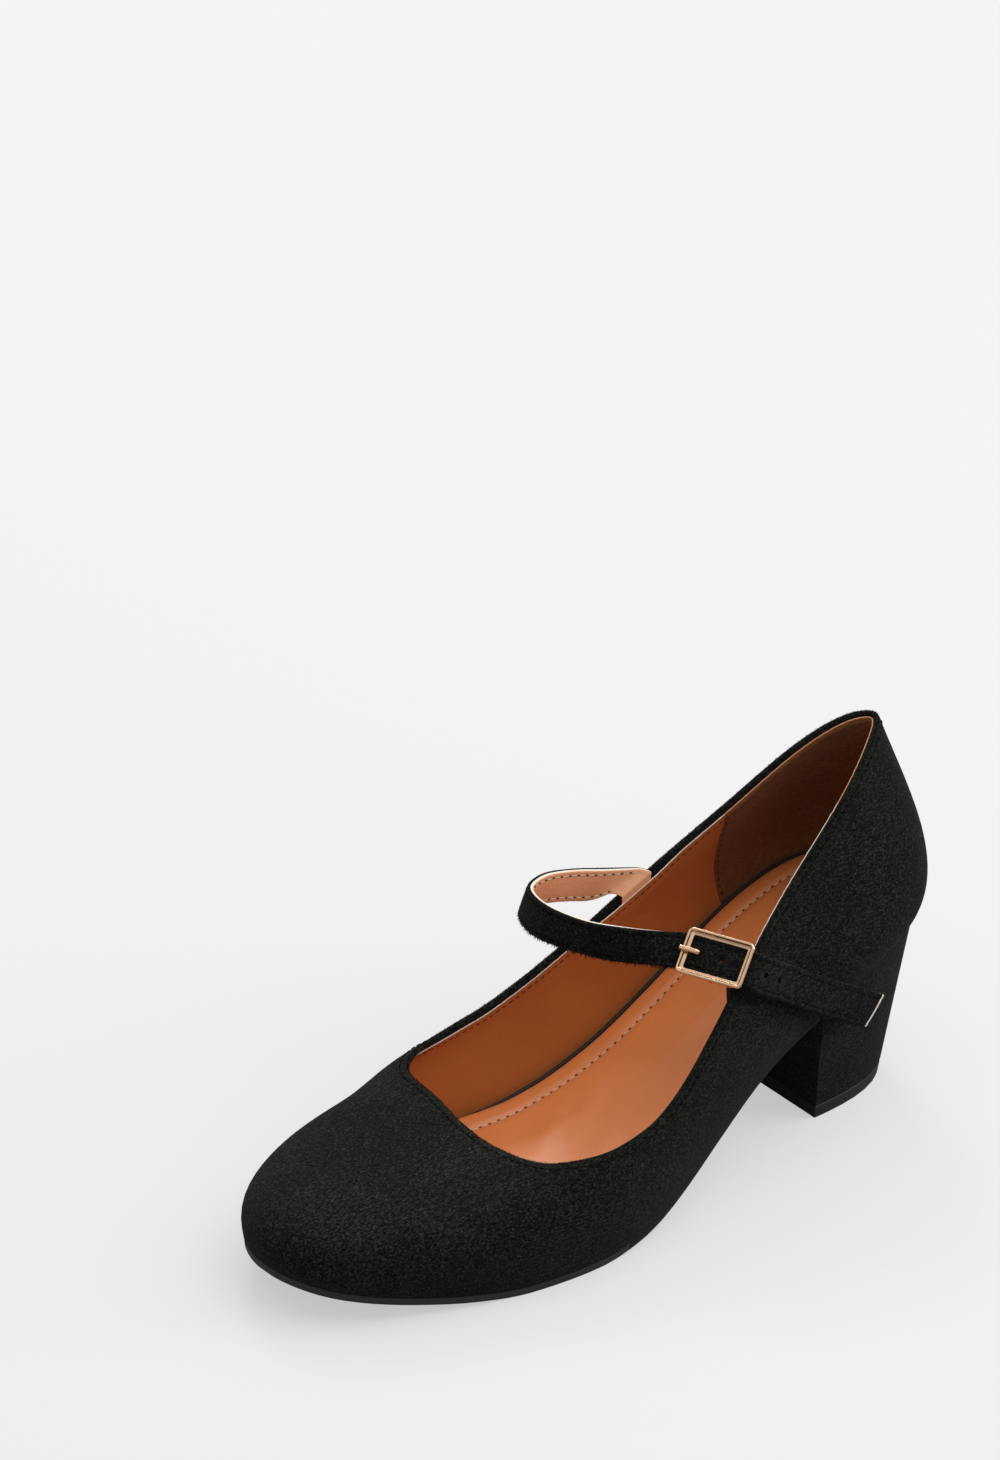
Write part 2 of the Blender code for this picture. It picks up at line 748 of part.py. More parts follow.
def elastic_path(across):
    """One lengthwise line of the elastic, from its root in the shoe, round the centre bar and back."""
    _, centre_bar = bar_levels()
    matrix = np.array(buckle_frame_matrix())
    ring = (CENTRE_WIRE + ELASTIC_THICKNESS) / 2 + GAP
    side = (across - 0.5) * ELASTIC_WIDTH
    rim = strap_point(RIGHT_BAR - 0.25, 0.5)[0]
    along = rim[1] + outer_rim_step() * side
    second = ELASTIC_THICKNESS + GAP
    turn = np.linspace(-0.5, -1.5, 7) * np.pi
    loop = ELASTIC_ARRIVES + tuple(zip(np.cos(turn), np.sin(turn))) + ELASTIC_LEAVES
    middle = [matrix @ np.array([x * ring, side, centre_bar + z * ring, 1.0]) for x, z in loop]
    path = [
        inner_wall(along, ELASTIC_DEPTH, GAP),
        inner_wall(along, ELASTIC_DEPTH / 2, GAP),
        inner_wall(along, ELASTIC_DEPTH / 8, GAP),
    ]
    path += [point[:3] for point in middle]
    path += [
        inner_wall(along, ELASTIC_DEPTH / 2, GAP + second),
        inner_wall(along, ELASTIC_DEPTH, GAP + second),
    ]
    return np.array(path)


def outer_rim_step():
    """How far the topline runs along Y for each step across the buckle."""
    _, _, width, _ = buckle_axes()
    return np.sign(width[1]) * ELASTIC_SKEW


def make_elastic(surface, owner, parent, cutters):
    """A band that wraps the centre bar, with a slit for the prong."""
    count = ELASTIC_ACROSS
    paths = [elastic_path(number / count) for number in range(count + 1)]
    along = len(paths[0]) - 1
    shape = bmesh.new()
    bmesh.ops.create_grid(shape, x_segments=along, y_segments=count, size=0.5)
    for vertex in shape.verts:
        step = round((vertex.co.x + 0.5) * along)
        line = round((vertex.co.y + 0.5) * count)
        vertex.co = Vector(paths[line][step])
    mesh = bpy.data.meshes.new("buckle_elastic")
    shape.to_mesh(mesh)
    shape.free()
    band = finish_object("buckle_elastic", mesh, surface, owner, parent)
    thicken(band, ELASTIC_THICKNESS, 0)
    _, centre_bar = bar_levels()
    slit = bmesh.new()
    bmesh.ops.create_cube(slit, size=1)
    reach = CENTRE_WIRE + PRONG_WIRE + ELASTIC_THICKNESS
    bmesh.ops.scale(slit, verts=slit.verts, vec=(reach * 2, PRONG_WIRE + 3 * GAP, reach * 2))
    bmesh.ops.translate(slit, verts=slit.verts, vec=(-reach / 3, 0, centre_bar))
    cutter_mesh = bpy.data.meshes.new("slit")
    slit.to_mesh(cutter_mesh)
    slit.free()
    cutter = bpy.data.objects.new("slit", cutter_mesh)
    cutters.objects.link(cutter)
    place_on_buckle(cutter, parent)
    cutter.hide_render = True
    cutter.display_type = "WIRE"
    cut = band.modifiers.new("Slit", "BOOLEAN")
    cut.operation = "DIFFERENCE"
    cut.solver = "EXACT"
    cut.object = cutter


def centre_on_floor(root, collection):
    """Move the empty so that the middle of the shoe's box is over the origin and its lowest point on Z = 0."""
    bpy.context.view_layer.update()
    graph = bpy.context.evaluated_depsgraph_get()
    low = np.full(3, np.inf)
    high = np.full(3, -np.inf)
    for item in collection.objects:
        if item.type != "MESH":
            continue
        evaluated = item.evaluated_get(graph)
        mesh = evaluated.to_mesh()
        points = np.array([evaluated.matrix_world @ vertex.co for vertex in mesh.vertices])
        evaluated.to_mesh_clear()
        low = np.minimum(low, points.min(axis=0))
        high = np.maximum(high, points.max(axis=0))
    middle = (low + high) / 2
    root.location = (-middle[0], -middle[1], -low[2])


def main():
    clear_scene()
    collection = collection_named("mary_jane_pump")
    cutters = collection_named("cutters")
    root = bpy.data.objects.new("shoe", None)
    collection.objects.link(root)
    suede = material("black_suede", (0.013, 0.013, 0.012), 0.95)
    rubber = material("dark_rubber", (0.035, 0.035, 0.034), 0.6)
    wrap = material("black_wrap", (0.01, 0.01, 0.01), 0.7)
    leather = material("tan_leather", (0.45, 0.16, 0.06), 0.45)
    gold = material("pale_gold", (0.83, 0.62, 0.45), 0.25, 1.0)
    make_upper(suede, collection, root)
    make_plate(
        "outsole",
        OUTSOLE_INSET,
        outsole_end(),
        -GAP,
        OUTSOLE_THICKNESS,
        -1,
        rubber,
        collection,
        root,
    )
    footbed_inset = WALL + FOOTBED_CLEARANCE
    make_plate("footbed", footbed_inset, None, 0.0, FOOTBED_THICKNESS, 1, wrap, collection, root)
    make_plate(
        "sock",
        footbed_inset + SOCK_INSET,
        None,
        FOOTBED_THICKNESS + GAP,
        SOCK_THICKNESS,
        1,
        leather,
        collection,
        root,
    )
    make_heel_piece("heel_block", HEEL_CUTS, LIFT_THICKNESS + GAP, None, suede, collection, root)
    make_heel_piece("top_piece", LIFT_CUTS, 0.0, LIFT_THICKNESS, rubber, collection, root)
    make_strap(suede, collection, root, cutters)
    make_buckle_frame(gold, collection, root, cutters)
    make_prong(gold, collection, root)
    make_elastic(wrap, collection, root, cutters)
    centre_on_floor(root, collection)


main()
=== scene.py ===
# %% [markdown]
# # A black suede mary jane pump, left foot
#
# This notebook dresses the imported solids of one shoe. The solids give every size and place. Each cell makes
# one layer of the real thing over them: the suede skin, the tan lining, the padded sock, the strap with its
# raw edges, the gold buckle, and the threads that hold it together.
#
# Lengths are in metres. The toe points along -Y, and +X is the outer side of the foot, where the buckle is.

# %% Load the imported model
from math import atan2, cos, pi, radians, sin, tau

import bmesh
import bpy
import numpy as np
from mathutils import Matrix, Vector


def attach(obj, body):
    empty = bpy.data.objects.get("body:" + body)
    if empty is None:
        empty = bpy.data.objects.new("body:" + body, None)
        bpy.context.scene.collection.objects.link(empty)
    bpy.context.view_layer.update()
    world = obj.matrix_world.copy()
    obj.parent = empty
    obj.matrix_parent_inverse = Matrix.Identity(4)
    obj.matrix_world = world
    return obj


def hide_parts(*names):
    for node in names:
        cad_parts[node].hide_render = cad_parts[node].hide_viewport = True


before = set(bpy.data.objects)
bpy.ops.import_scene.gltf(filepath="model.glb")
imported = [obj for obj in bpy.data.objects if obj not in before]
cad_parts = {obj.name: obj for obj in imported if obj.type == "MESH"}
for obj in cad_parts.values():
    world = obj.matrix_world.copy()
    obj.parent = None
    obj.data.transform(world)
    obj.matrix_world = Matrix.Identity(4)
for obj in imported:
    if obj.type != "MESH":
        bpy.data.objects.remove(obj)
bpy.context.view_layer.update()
print("nodes:", ", ".join(sorted(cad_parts)))


# %% Objects and meshes
def add_object(name, data):
    """An object of this data, linked into the scene."""
    made = bpy.data.objects.new(name, data)
    bpy.context.scene.collection.objects.link(made)
    return made


def mesh_of(name, shape):
    """A mesh with the shape's faces; the shape is used up."""
    mesh = bpy.data.meshes.new(name)
    shape.to_mesh(mesh)
    shape.free()
    return mesh


# %% [markdown]
# ## Node helpers
#
# The sky, the floor and the finishes are built from nodes. Each input is linked from another node's socket
# or set to a plain value, and `feed` does whichever is needed.


# %% Node helpers
MIX_SOCKETS = ("Factor", 6, 7)
MIX_RESULT = 2


def rgba(red, green, blue):
    return (red, green, blue, 1.0)


def grey(tone):
    return rgba(tone, tone, tone)


def feed(tree, socket, value):
    """Links a socket from another one, or sets its value."""
    if isinstance(value, bpy.types.NodeSocket):
        tree.links.new(value, socket)
    else:
        socket.default_value = value


def add_node(tree, kind, settings=(), **inputs):
    """A node with its settings and its inputs."""
    node = tree.nodes.new(kind)
    for name, value in dict(settings).items():
        setattr(node, name, value)
    for name, value in inputs.items():
        feed(tree, node.inputs[name.replace("_", " ")], value)
    return node


def arithmetic(tree, operation, first, second=0.0):
    node = add_node(tree, "ShaderNodeMath", {"operation": operation})
    for socket, value in zip(node.inputs, (first, second)):
        feed(tree, socket, value)
    return node.outputs[0]


def blend_colours(tree, factor, first, second):
    node = add_node(tree, "ShaderNodeMix", {"data_type": "RGBA"})
    for key, value in zip(MIX_SOCKETS, (factor, first, second)):
        feed(tree, node.inputs[key], value)
    return node.outputs[MIX_RESULT]


def window(tree, value, low, high, **ends):
    """0 below low, 1 above high and a straight ramp between; To_Min and To_Max give other ends."""
    return add_node(
        tree, "ShaderNodeMapRange", {"clamp": True}, Value=value, From_Min=low, From_Max=high, **ends
    ).outputs["Result"]


def object_place(tree):
    return add_node(tree, "ShaderNodeTexCoord").outputs["Object"]


def noise(tree, place, scale, **more):
    return add_node(tree, "ShaderNodeTexNoise", Vector=place, Scale=scale, **more).outputs["Fac"]


def new_material(name):
    """A material, its node tree and its Principled shader."""
    made = bpy.data.materials.new(name)
    made.use_nodes = True
    return made, made.node_tree, made.node_tree.nodes["Principled BSDF"]


def add_relief(tree, shader, strength, depth, height):
    bump = add_node(tree, "ShaderNodeBump", Strength=strength, Distance=depth, Height=height)
    feed(tree, shader.inputs["Normal"], bump.outputs["Normal"])


def new_group(name, inputs, outputs):
    """An empty shader group with named sockets."""
    group = bpy.data.node_groups.new(name, "ShaderNodeTree")
    kinds = {"colour": "NodeSocketColor", "value": "NodeSocketFloat"}
    for title, kind, start in inputs:
        socket = group.interface.new_socket(title, in_out="INPUT", socket_type=kinds[kind])
        socket.default_value = start
    for title, kind in outputs:
        group.interface.new_socket(title, in_out="OUTPUT", socket_type=kinds[kind])
    return group, group.nodes.new("NodeGroupInput"), group.nodes.new("NodeGroupOutput")


# %% [markdown]
# ## The camera and the studio
#
# The photograph is a long-lens product shot, taken from the front of the outer side and about thirty degrees
# above the table. The camera stands at the same angle and distance, so the render and the photograph can be
# laid over each other. Its axes are worked out from the compass angle, the height angle and a small roll.

# %% Camera
AZIMUTH = radians(47.934)
ELEVATION = radians(31.415)
ROLL = radians(2.49)
CAMERA_PLACE = Vector((1.7658, -1.6364, 1.6185))
LENS = 244.05
SENSOR = 36.0

back = Vector((sin(AZIMUTH) * cos(ELEVATION), -cos(AZIMUTH) * cos(ELEVATION), sin(ELEVATION)))
level_right = Vector((cos(AZIMUTH), sin(AZIMUTH), 0.0))
level_up = back.cross(level_right)
right = level_right * cos(ROLL) + level_up * sin(ROLL)
up = back.cross(right)

camera = add_object("camera", bpy.data.cameras.new("camera"))
camera.data.lens = LENS
camera.data.sensor_width = SENSOR
camera.data.clip_end = 20.0
camera.matrix_world = Matrix.Translation(CAMERA_PLACE) @ Matrix((right, up, back)).transposed().to_4x4()
bpy.context.scene.camera = camera
print("camera axes:", [round(value, 4) for value in (*right, *up, *back)])

# %% [markdown]
# Product shots of black shoes are lit from all round, so that the nap shows, with one broad key that models
# the toe. The world is bright overhead and dim at the horizon, like a room with a lit ceiling. Polished metal
# needs that change of brightness to look like metal.

# %% Light
HORIZON_LIGHT = 0.24
CEILING_LIGHT = 0.72
CEILING_START = 0.1
CEILING_FULL = 0.75
KEY_STRENGTH = 0.85
RIM_POWER = 3.2
WINDOW_POWER = 5.5

studio = bpy.data.worlds.new("studio")
bpy.context.scene.world = studio
studio.use_nodes = True
sky = studio.node_tree
sky_place = add_node(sky, "ShaderNodeTexCoord").outputs["Generated"]
ramp = add_node(
    sky,
    "ShaderNodeMapRange",
    {"interpolation_type": "SMOOTHSTEP"},
    Value=add_node(sky, "ShaderNodeSeparateXYZ", Vector=sky_place).outputs["Z"],
    From_Min=CEILING_START,
    From_Max=CEILING_FULL,
    To_Min=HORIZON_LIGHT,
    To_Max=CEILING_LIGHT,
)
background = sky.nodes["Background"]
feed(sky, background.inputs["Color"], grey(1.0))
feed(sky, background.inputs["Strength"], ramp.outputs["Result"])
bpy.context.scene.view_settings.view_transform = "Standard"


def add_light(name, kind, strength, place, aim, **settings):
    """A light at a place, turned to look at a point."""
    lamp = bpy.data.lights.new(name, kind)
    lamp.energy = strength
    for setting, value in settings.items():
        setattr(lamp, setting, value)
    light = add_object(name, lamp)
    light.location = place
    light.rotation_euler = (Vector(aim) - Vector(place)).to_track_quat("-Z", "Y").to_euler()


add_light("key", "SUN", KEY_STRENGTH, (0.5, 0.8, 2.2), (0.0, 0.0, 0.0), angle=radians(60))
add_light("window", "AREA", WINDOW_POWER, (-1.07, 0.56, 1.19), (0.0, -0.02, 0.02), size=0.45)
add_light("rim", "AREA", RIM_POWER, (0.55, 0.75, 0.45), (0.0, 0.05, 0.06), size=0.5)

# %% [markdown]
# The floor is one pale sheet. Part of its brightness is its own, as on a lit table, so the shoe's shadow
# stays faint except where the sole and the heel nearly touch it. Only the camera sees the glow, so it lights
# nothing.

# %% Floor
FLOOR_SIZE = 12.0
FLOOR_GLOW = 0.51
FLOOR_TONE = 0.33
floor_shape = bmesh.new()
bmesh.ops.create_grid(floor_shape, x_segments=1, y_segments=1, size=FLOOR_SIZE)
floor_mesh = mesh_of("floor", floor_shape)
floor_material, floor_tree, floor_shader = new_material("floor_pale")
seen = add_node(floor_tree, "ShaderNodeLightPath").outputs["Is Camera Ray"]
for title, value in (
    ("Base Color", grey(FLOOR_TONE)),
    ("Roughness", 1.0),
    ("Specular IOR Level", 0.0),
    ("Emission Color", grey(1.0)),
    ("Emission Strength", arithmetic(floor_tree, "MULTIPLY", seen, FLOOR_GLOW)),
):
    feed(floor_tree, floor_shader.inputs[title], value)
floor_mesh.materials.append(floor_material)
floor = add_object("floor", floor_mesh)
print("key", KEY_STRENGTH, "ceiling", CEILING_LIGHT, "horizon", HORIZON_LIGHT)

# %% [markdown]
# ## Finishes
#
# Each finish is a Principled shader fed by small node groups that several finishes share. A group gives out
# a colour, a roughness or a height. All patterns read Object coordinates, so they stay on the piece from
# every side, and a scale is in waves per metre.
#
# Suede is a field of short fibres. Brushed one way they look darker, and where a thumb has turned them they
# catch the light. The group has three layers of noise: fine fibres drawn out along the nap, broad soft
# patches, and a few bright fibre tips.


# %% Nap group
def make_nap_group():
    group, given, out = new_group(
        "nap",
        [
            ("Dark", "colour", grey(0.01)),
            ("Light", "colour", grey(0.03)),
            ("Fibre scale", "value", 1500.0),
            ("Patch scale", "value", 22.0),
            ("Tips", "value", 0.5),
        ],
        [("Colour", "colour"), ("Height", "value")],
    )
    place = object_place(group)
    drawn = add_node(
        group, "ShaderNodeMapping", Vector=place, Rotation=(0.5, 0.3, 0.75), Scale=(1.0, 0.34, 1.0)
    ).outputs["Vector"]
    fibre = noise(group, drawn, given.outputs["Fibre scale"], Detail=3.0, Roughness=0.65)
    patch = noise(group, place, given.outputs["Patch scale"], Detail=4.0, Roughness=0.6, Distortion=0.6)
    speck_scale = arithmetic(group, "MULTIPLY", given.outputs["Fibre scale"], 0.8)
    speck = noise(group, place, speck_scale, Detail=2.0)
    fibres = window(group, fibre, 0.45, 0.6)
    patches = window(group, patch, 0.34, 0.68)
    tips = arithmetic(group, "MULTIPLY", window(group, speck, 0.55, 0.66), given.outputs["Tips"])
    raised = arithmetic(group, "MULTIPLY", fibres, arithmetic(group, "ADD", patches, 0.35))
    mixed = arithmetic(group, "ADD", arithmetic(group, "MULTIPLY", raised, 0.42), tips)
    lit = arithmetic(group, "MINIMUM", mixed, 1.0)
    colour = blend_colours(group, lit, given.outputs["Dark"], given.outputs["Light"])
    group.links.new(colour, out.inputs["Colour"])
    group.links.new(fibre, out.inputs["Height"])
    return group


NAP = make_nap_group()


# %% [markdown]
# The smooth leathers share a grain: shallow cells of two sizes, colour that drifts a little over a hand's
# width, and a gloss that is less even than the colour.


# %% Grain group
def make_grain_group():
    group, given, out = new_group(
        "grain",
        [
            ("Colour", "colour", rgba(0.5, 0.2, 0.08)),
            ("Shade", "colour", rgba(0.3, 0.1, 0.04)),
            ("Cell scale", "value", 1400.0),
            ("Roughness", "value", 0.45),
        ],
        [("Colour", "colour"), ("Roughness", "value"), ("Height", "value")],
    )
    place = object_place(group)
    scale = given.outputs["Cell scale"]
    voronoi = {"feature": "DISTANCE_TO_EDGE"}
    cells = add_node(group, "ShaderNodeTexVoronoi", voronoi, Vector=place, Scale=scale).outputs["Distance"]
    fine = noise(group, place, arithmetic(group, "MULTIPLY", scale, 1.7), Detail=3.0)
    drift = noise(group, place, 28.0, Detail=3.0, Distortion=0.5)
    shade = arithmetic(group, "MULTIPLY", window(group, drift, 0.35, 0.75), 0.45)
    pits = arithmetic(group, "MULTIPLY", window(group, fine, 0.62, 0.4), 0.16)
    factor = arithmetic(group, "ADD", shade, pits)
    colour = blend_colours(group, factor, given.outputs["Colour"], given.outputs["Shade"])
    group.links.new(colour, out.inputs["Colour"])
    uneven = arithmetic(group, "MULTIPLY", arithmetic(group, "SUBTRACT", drift, 0.5), 0.3)
    group.links.new(arithmetic(group, "ADD", given.outputs["Roughness"], uneven), out.inputs["Roughness"])
    deep = arithmetic(group, "MULTIPLY", window(group, cells, 0.0, 0.25), 0.7)
    height = arithmetic(group, "ADD", deep, arithmetic(group, "MULTIPLY", fine, 0.3))
    group.links.new(height, out.inputs["Height"])
    return group


GRAIN = make_grain_group()


# %% [markdown]
# A finish function makes one material. The parts that change over the surface come from a group. The plain
# numbers, such as sheen and coat, are set on the shader itself.


# %% Finish helper
def finish_with(name, group, values, shader_values, bump, bump_depth):
    """A material whose Principled shader reads one shared group."""
    made, tree, shader = new_material(name)
    source = add_node(tree, "ShaderNodeGroup", {"node_tree": group})
    for title, value in values.items():
        source.inputs[title].default_value = value
    feed(tree, shader.inputs["Base Color"], source.outputs["Colour"])
    if "Roughness" in source.outputs:
        feed(tree, shader.inputs["Roughness"], source.outputs["Roughness"])
    for title, value in shader_values.items():
        shader.inputs[title].default_value = value
    add_relief(tree, shader, bump, bump_depth, source.outputs["Height"])
    return made


def suede_finish(name, dark, light, tips, sheen, fibre=1500.0, patch=22.0):
    values = {"Dark": dark, "Light": light, "Fibre scale": fibre, "Patch scale": patch, "Tips": tips}
    shader = {"Roughness": 0.95, "Specular IOR Level": 0.12, "Sheen Weight": sheen, "Sheen Roughness": 0.45}
    return finish_with(name, NAP, values, shader, 0.9, 0.0006)


def leather_finish(name, colour, shade, rough, cell=1400.0, bump=0.25, coat=0.0):
    values = {"Colour": colour, "Shade": shade, "Cell scale": cell, "Roughness": rough}
    shader = {"Specular IOR Level": 0.45, "Coat Weight": coat, "Coat Roughness": 0.3}
    return finish_with(name, GRAIN, values, shader, bump, 0.00025)


# %% Finishes of the shoe
BLACK_SUEDE = suede_finish(
    "suede_black", rgba(0.0012, 0.0012, 0.001), rgba(0.036, 0.0365, 0.031), 0.66, 0.035, 1850.0, 26.0
)
TAN_SOCK = leather_finish(
    "leather_tan_sock", rgba(0.84, 0.275, 0.082), rgba(0.68, 0.195, 0.05), 0.33, 1500.0, 0.14, 0.2
)
TAN_LINING = leather_finish("leather_tan_lining", rgba(0.54, 0.165, 0.04), rgba(0.4, 0.106, 0.025), 0.42)
STRAP_TAN = leather_finish("leather_tan_strap", rgba(0.95, 0.5, 0.28), rgba(0.82, 0.38, 0.19), 0.38)
GRIP_BROWN = suede_finish(
    "grip_brown", rgba(0.19, 0.07, 0.028), rgba(0.32, 0.125, 0.05), 0.25, 0.05, 1100.0, 30.0
)
BLACK_WRAP = leather_finish("wrap_black", grey(0.012), grey(0.006), 0.6)
RAW_EDGE = leather_finish("raw_edge_cream", rgba(0.95, 0.88, 0.8), rgba(0.85, 0.7, 0.56), 0.8, 2400.0)
RAW_TAN = leather_finish("raw_edge_tan", rgba(0.85, 0.42, 0.24), rgba(0.66, 0.26, 0.13), 0.75, 2400.0)
RUBBER = leather_finish(
    "rubber_dark", rgba(0.013, 0.013, 0.0125), grey(0.008), 0.5, 900.0, 0.12
)
WAIST_EDGE = leather_finish(
    "sole_edge_black", grey(0.007), grey(0.004), 0.85
)
SOLE_EDGE = leather_finish(
    "sole_edge_grey", rgba(0.032, 0.032, 0.03), rgba(0.018, 0.018, 0.017), 0.5, 900.0, 0.12
)
BLACK_THREAD = suede_finish(
    "thread_black", grey(0.001), grey(0.008), 0.3, 0.0, 3000.0
)
CREAM_THREAD = leather_finish("thread_cream", rgba(0.85, 0.7, 0.52), rgba(0.7, 0.5, 0.33), 0.6, 3000.0)
# Dark brown: the thread of the lining seams, and also the painted shade in the needle holes between the cream
# stitches.
BROWN_THREAD_AND_HOLE_SHADE = leather_finish("thread_brown_and_hole_shade", rgba(0.09, 0.03, 0.013), rgba(0.04, 0.013, 0.006), 0.6, 3000.0)
print("finishes:", len(bpy.data.materials))

# %% [markdown]
# The buckle is cast, plated in a pale rose gold and polished, so it is a plain metal whose roughness varies
# with faint handling marks.


# %% Gold
def make_gold():
    made, tree, shader = new_material("gold_pale")
    marks = noise(tree, object_place(tree), 300.0, Detail=2.0)
    tone = blend_colours(tree, marks, rgba(0.8, 0.49, 0.3), rgba(0.9, 0.62, 0.42))
    feed(tree, shader.inputs["Base Color"], tone)
    feed(tree, shader.inputs["Roughness"], window(tree, marks, 0.3, 0.7, To_Min=0.12, To_Max=0.2))
    feed(tree, shader.inputs["Metallic"], 1.0)
    add_relief(tree, shader, 0.08, 0.0002, marks)
    return made


GOLD = make_gold()


# %% [markdown]
# The elastic is a woven ribbon with ribs along its length. A wave gives the ribs and a finer noise the yarn.


# %% Elastic ribbon
RIB_WIDTH = 0.0011


def make_ribbon(axis):
    """Black ribbed ribbon; axis is the unit direction across the band."""
    made, tree, shader = new_material("elastic_black")
    place = object_place(tree)
    across = add_node(tree, "ShaderNodeVectorMath", {"operation": "DOT_PRODUCT"})
    feed(tree, across.inputs[0], place)
    feed(tree, across.inputs[1], axis)
    waves = arithmetic(tree, "SINE", arithmetic(tree, "MULTIPLY", across.outputs["Value"], tau / RIB_WIDTH))
    rib = window(tree, waves, -1.0, 1.0)
    yarn = noise(tree, place, 2600.0, Detail=3.0)
    height = arithmetic(tree, "ADD", rib, arithmetic(tree, "MULTIPLY", yarn, 0.35))
    # The colour follows the ribs, darker in the grooves and lighter on the crests: painted shade and painted
    # highlight.
    tone = blend_colours(tree, rib, grey(0.004), grey(0.022))
    feed(tree, shader.inputs["Base Color"], tone)
    feed(tree, shader.inputs["Roughness"], 0.8)
    add_relief(tree, shader, 0.6, 0.0003, height)
    return made


# %% [markdown]
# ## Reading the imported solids
#
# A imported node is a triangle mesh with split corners. These helpers weld a copy, find its sharp edge loops,
# and put a loop in a known order, so that later cells can ask where a surface is.


# %% Welded copies and sharp loops
WELD = 1e-5
SHARP = radians(50)
STRAP_SHARP = radians(45)


def welded(node):
    """A bmesh copy of a CAD node with its split vertices joined."""
    shape = bmesh.new()
    shape.from_mesh(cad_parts[node].data)
    bmesh.ops.remove_doubles(shape, verts=shape.verts[:], dist=WELD)
    for group in (shape.verts, shape.edges, shape.faces):
        group.ensure_lookup_table()
    return shape


def places_of(shape):
    return np.array([vertex.co[:] for vertex in shape.verts])


def node_places(node):
    shape = welded(node)
    places = places_of(shape)
    shape.free()
    return places


def unit(vectors):
    """Rows of vectors, each brought to length 1."""
    return vectors / np.linalg.norm(vectors, axis=1, keepdims=True)


def lengths_along(points):
    """How far along its line each point is."""
    return np.concatenate([[0.0], np.cumsum(np.linalg.norm(np.diff(points, axis=0), axis=1))])


def sharp_links(shape, limit):
    """For each vertex on a sharp edge, the other ends of its sharp edges."""
    links = {}
    for edge in shape.edges:
        if len(edge.link_faces) == 2 and edge.calc_face_angle() > limit:
            first, second = edge.verts
            links.setdefault(first.index, []).append(second.index)
            links.setdefault(second.index, []).append(first.index)
    return links


def sharp_loops(shape, limit=SHARP):
    """Closed loops of vertices joined by edges sharper than the limit, in the order of the mesh."""
    links = sharp_links(shape, limit)
    loops = []
    left = set(links)
    while left:
        start = min(left)
        loop = [start]
        left.discard(start)
        while True:
            onward = [index for index in links[loop[-1]] if index in left]
            if not onward:
                break
            loop.append(onward[0])
            left.discard(onward[0])
        loops.append(loop)
    return loops


def counterclockwise(points):
    """The ring of points turned to run counterclockwise from above, starting at the toe."""
    plan = points[:, :2]
    onward = np.roll(plan, -1, axis=0)
    area = np.sum(plan[:, 0] * onward[:, 1] - onward[:, 0] * plan[:, 1])
    order = np.arange(len(points))
    if area < 0:
        order = order[::-1]
    start = int(np.argmin(points[order][:, 1]))
    return np.roll(order, -start)


upper_shape = welded("upper")
upper_places = places_of(upper_shape)
upper_loops = sharp_loops(upper_shape)
upper_loops.sort(key=lambda loop: float(upper_places[loop][:, 2].mean()))
loop_heights = [round(float(upper_places[loop][:, 2].mean()), 4) for loop in upper_loops]
print("upper's sharp loops:", list(zip(map(len, upper_loops), loop_heights)))

# %% [markdown]
# The upper was lofted in rows, so its vertices still lie in rings: up the outside, over the rim and down the
# inside. Walking from the foot ring, each next ring is the set of neighbours not yet used.


# %% Rings of the upper
def ring_length(loop):
    ring = upper_places[loop]
    return float(np.linalg.norm(ring - np.roll(ring, -1, axis=0), axis=1).sum())


foot_loops = sorted(upper_loops[:2], key=ring_length)
foot_inner, foot_outer = foot_loops
order = counterclockwise(upper_places[foot_outer])
first_ring = [foot_outer[index] for index in order]
neighbours = [[edge.other_vert(vertex).index for edge in vertex.link_edges] for vertex in upper_shape.verts]


def walk(options, start, first):
    """One vertex for each column, each beside the one before; None if the walk gets stuck."""
    count = len(options)
    chosen = [None] * count
    chosen[start] = first
    taken = {first}
    for step in range(1, count):
        here = (start + step) % count
        before = chosen[(here - 1) % count]
        beside = [index for index in options[here] if index not in taken and index in neighbours[before]]
        if not beside:
            return None
        chosen[here] = beside[0]
        taken.add(beside[0])
    return chosen


def next_ring(ring, used):
    """The ring beyond this one. Of the walks that close, the straightest has the shortest links."""
    options = [[index for index in neighbours[vertex] if index not in used] for vertex in ring]
    start = min(range(len(ring)), key=lambda index: len(options[index]))
    walks = [walk(options, start, first) for first in options[start]]

    def link_length(found):
        return float(np.linalg.norm(upper_places[found] - upper_places[ring], axis=1).sum())

    return min((found for found in walks if found), key=link_length)


rings = [first_ring]
used = set(foot_outer) | set(foot_inner)
while len(used) < len(upper_places):
    ring = next_ring(rings[-1], used)
    rings.append(ring)
    used |= set(ring)
rings.append(next_ring(rings[-1], used - set(foot_inner)))
upper_shape.free()
HALF = len(rings) // 2
outer_rows = np.array([upper_places[ring] for ring in rings[:HALF]])[::-1]
inner_rows = np.array([upper_places[ring] for ring in rings[HALF:]])
WALL = float(np.median(np.linalg.norm(outer_rows - inner_rows, axis=2)))
print("rings:", len(rings), "columns:", len(first_ring), "wall:", round(WALL, 5))

# %% [markdown]
# Every layer of the upper is placed by three numbers: how far round it is, how far below the topline, and
# how deep in the wall. Depth 0 is the face of the suede and depth WALL the inside of the solid's wall, so the
# lining lies deeper than WALL. `wall_at` turns the three into a point, on smooth curves through the rings.


# %% Smooth wall
COLUMNS = outer_rows.shape[1]


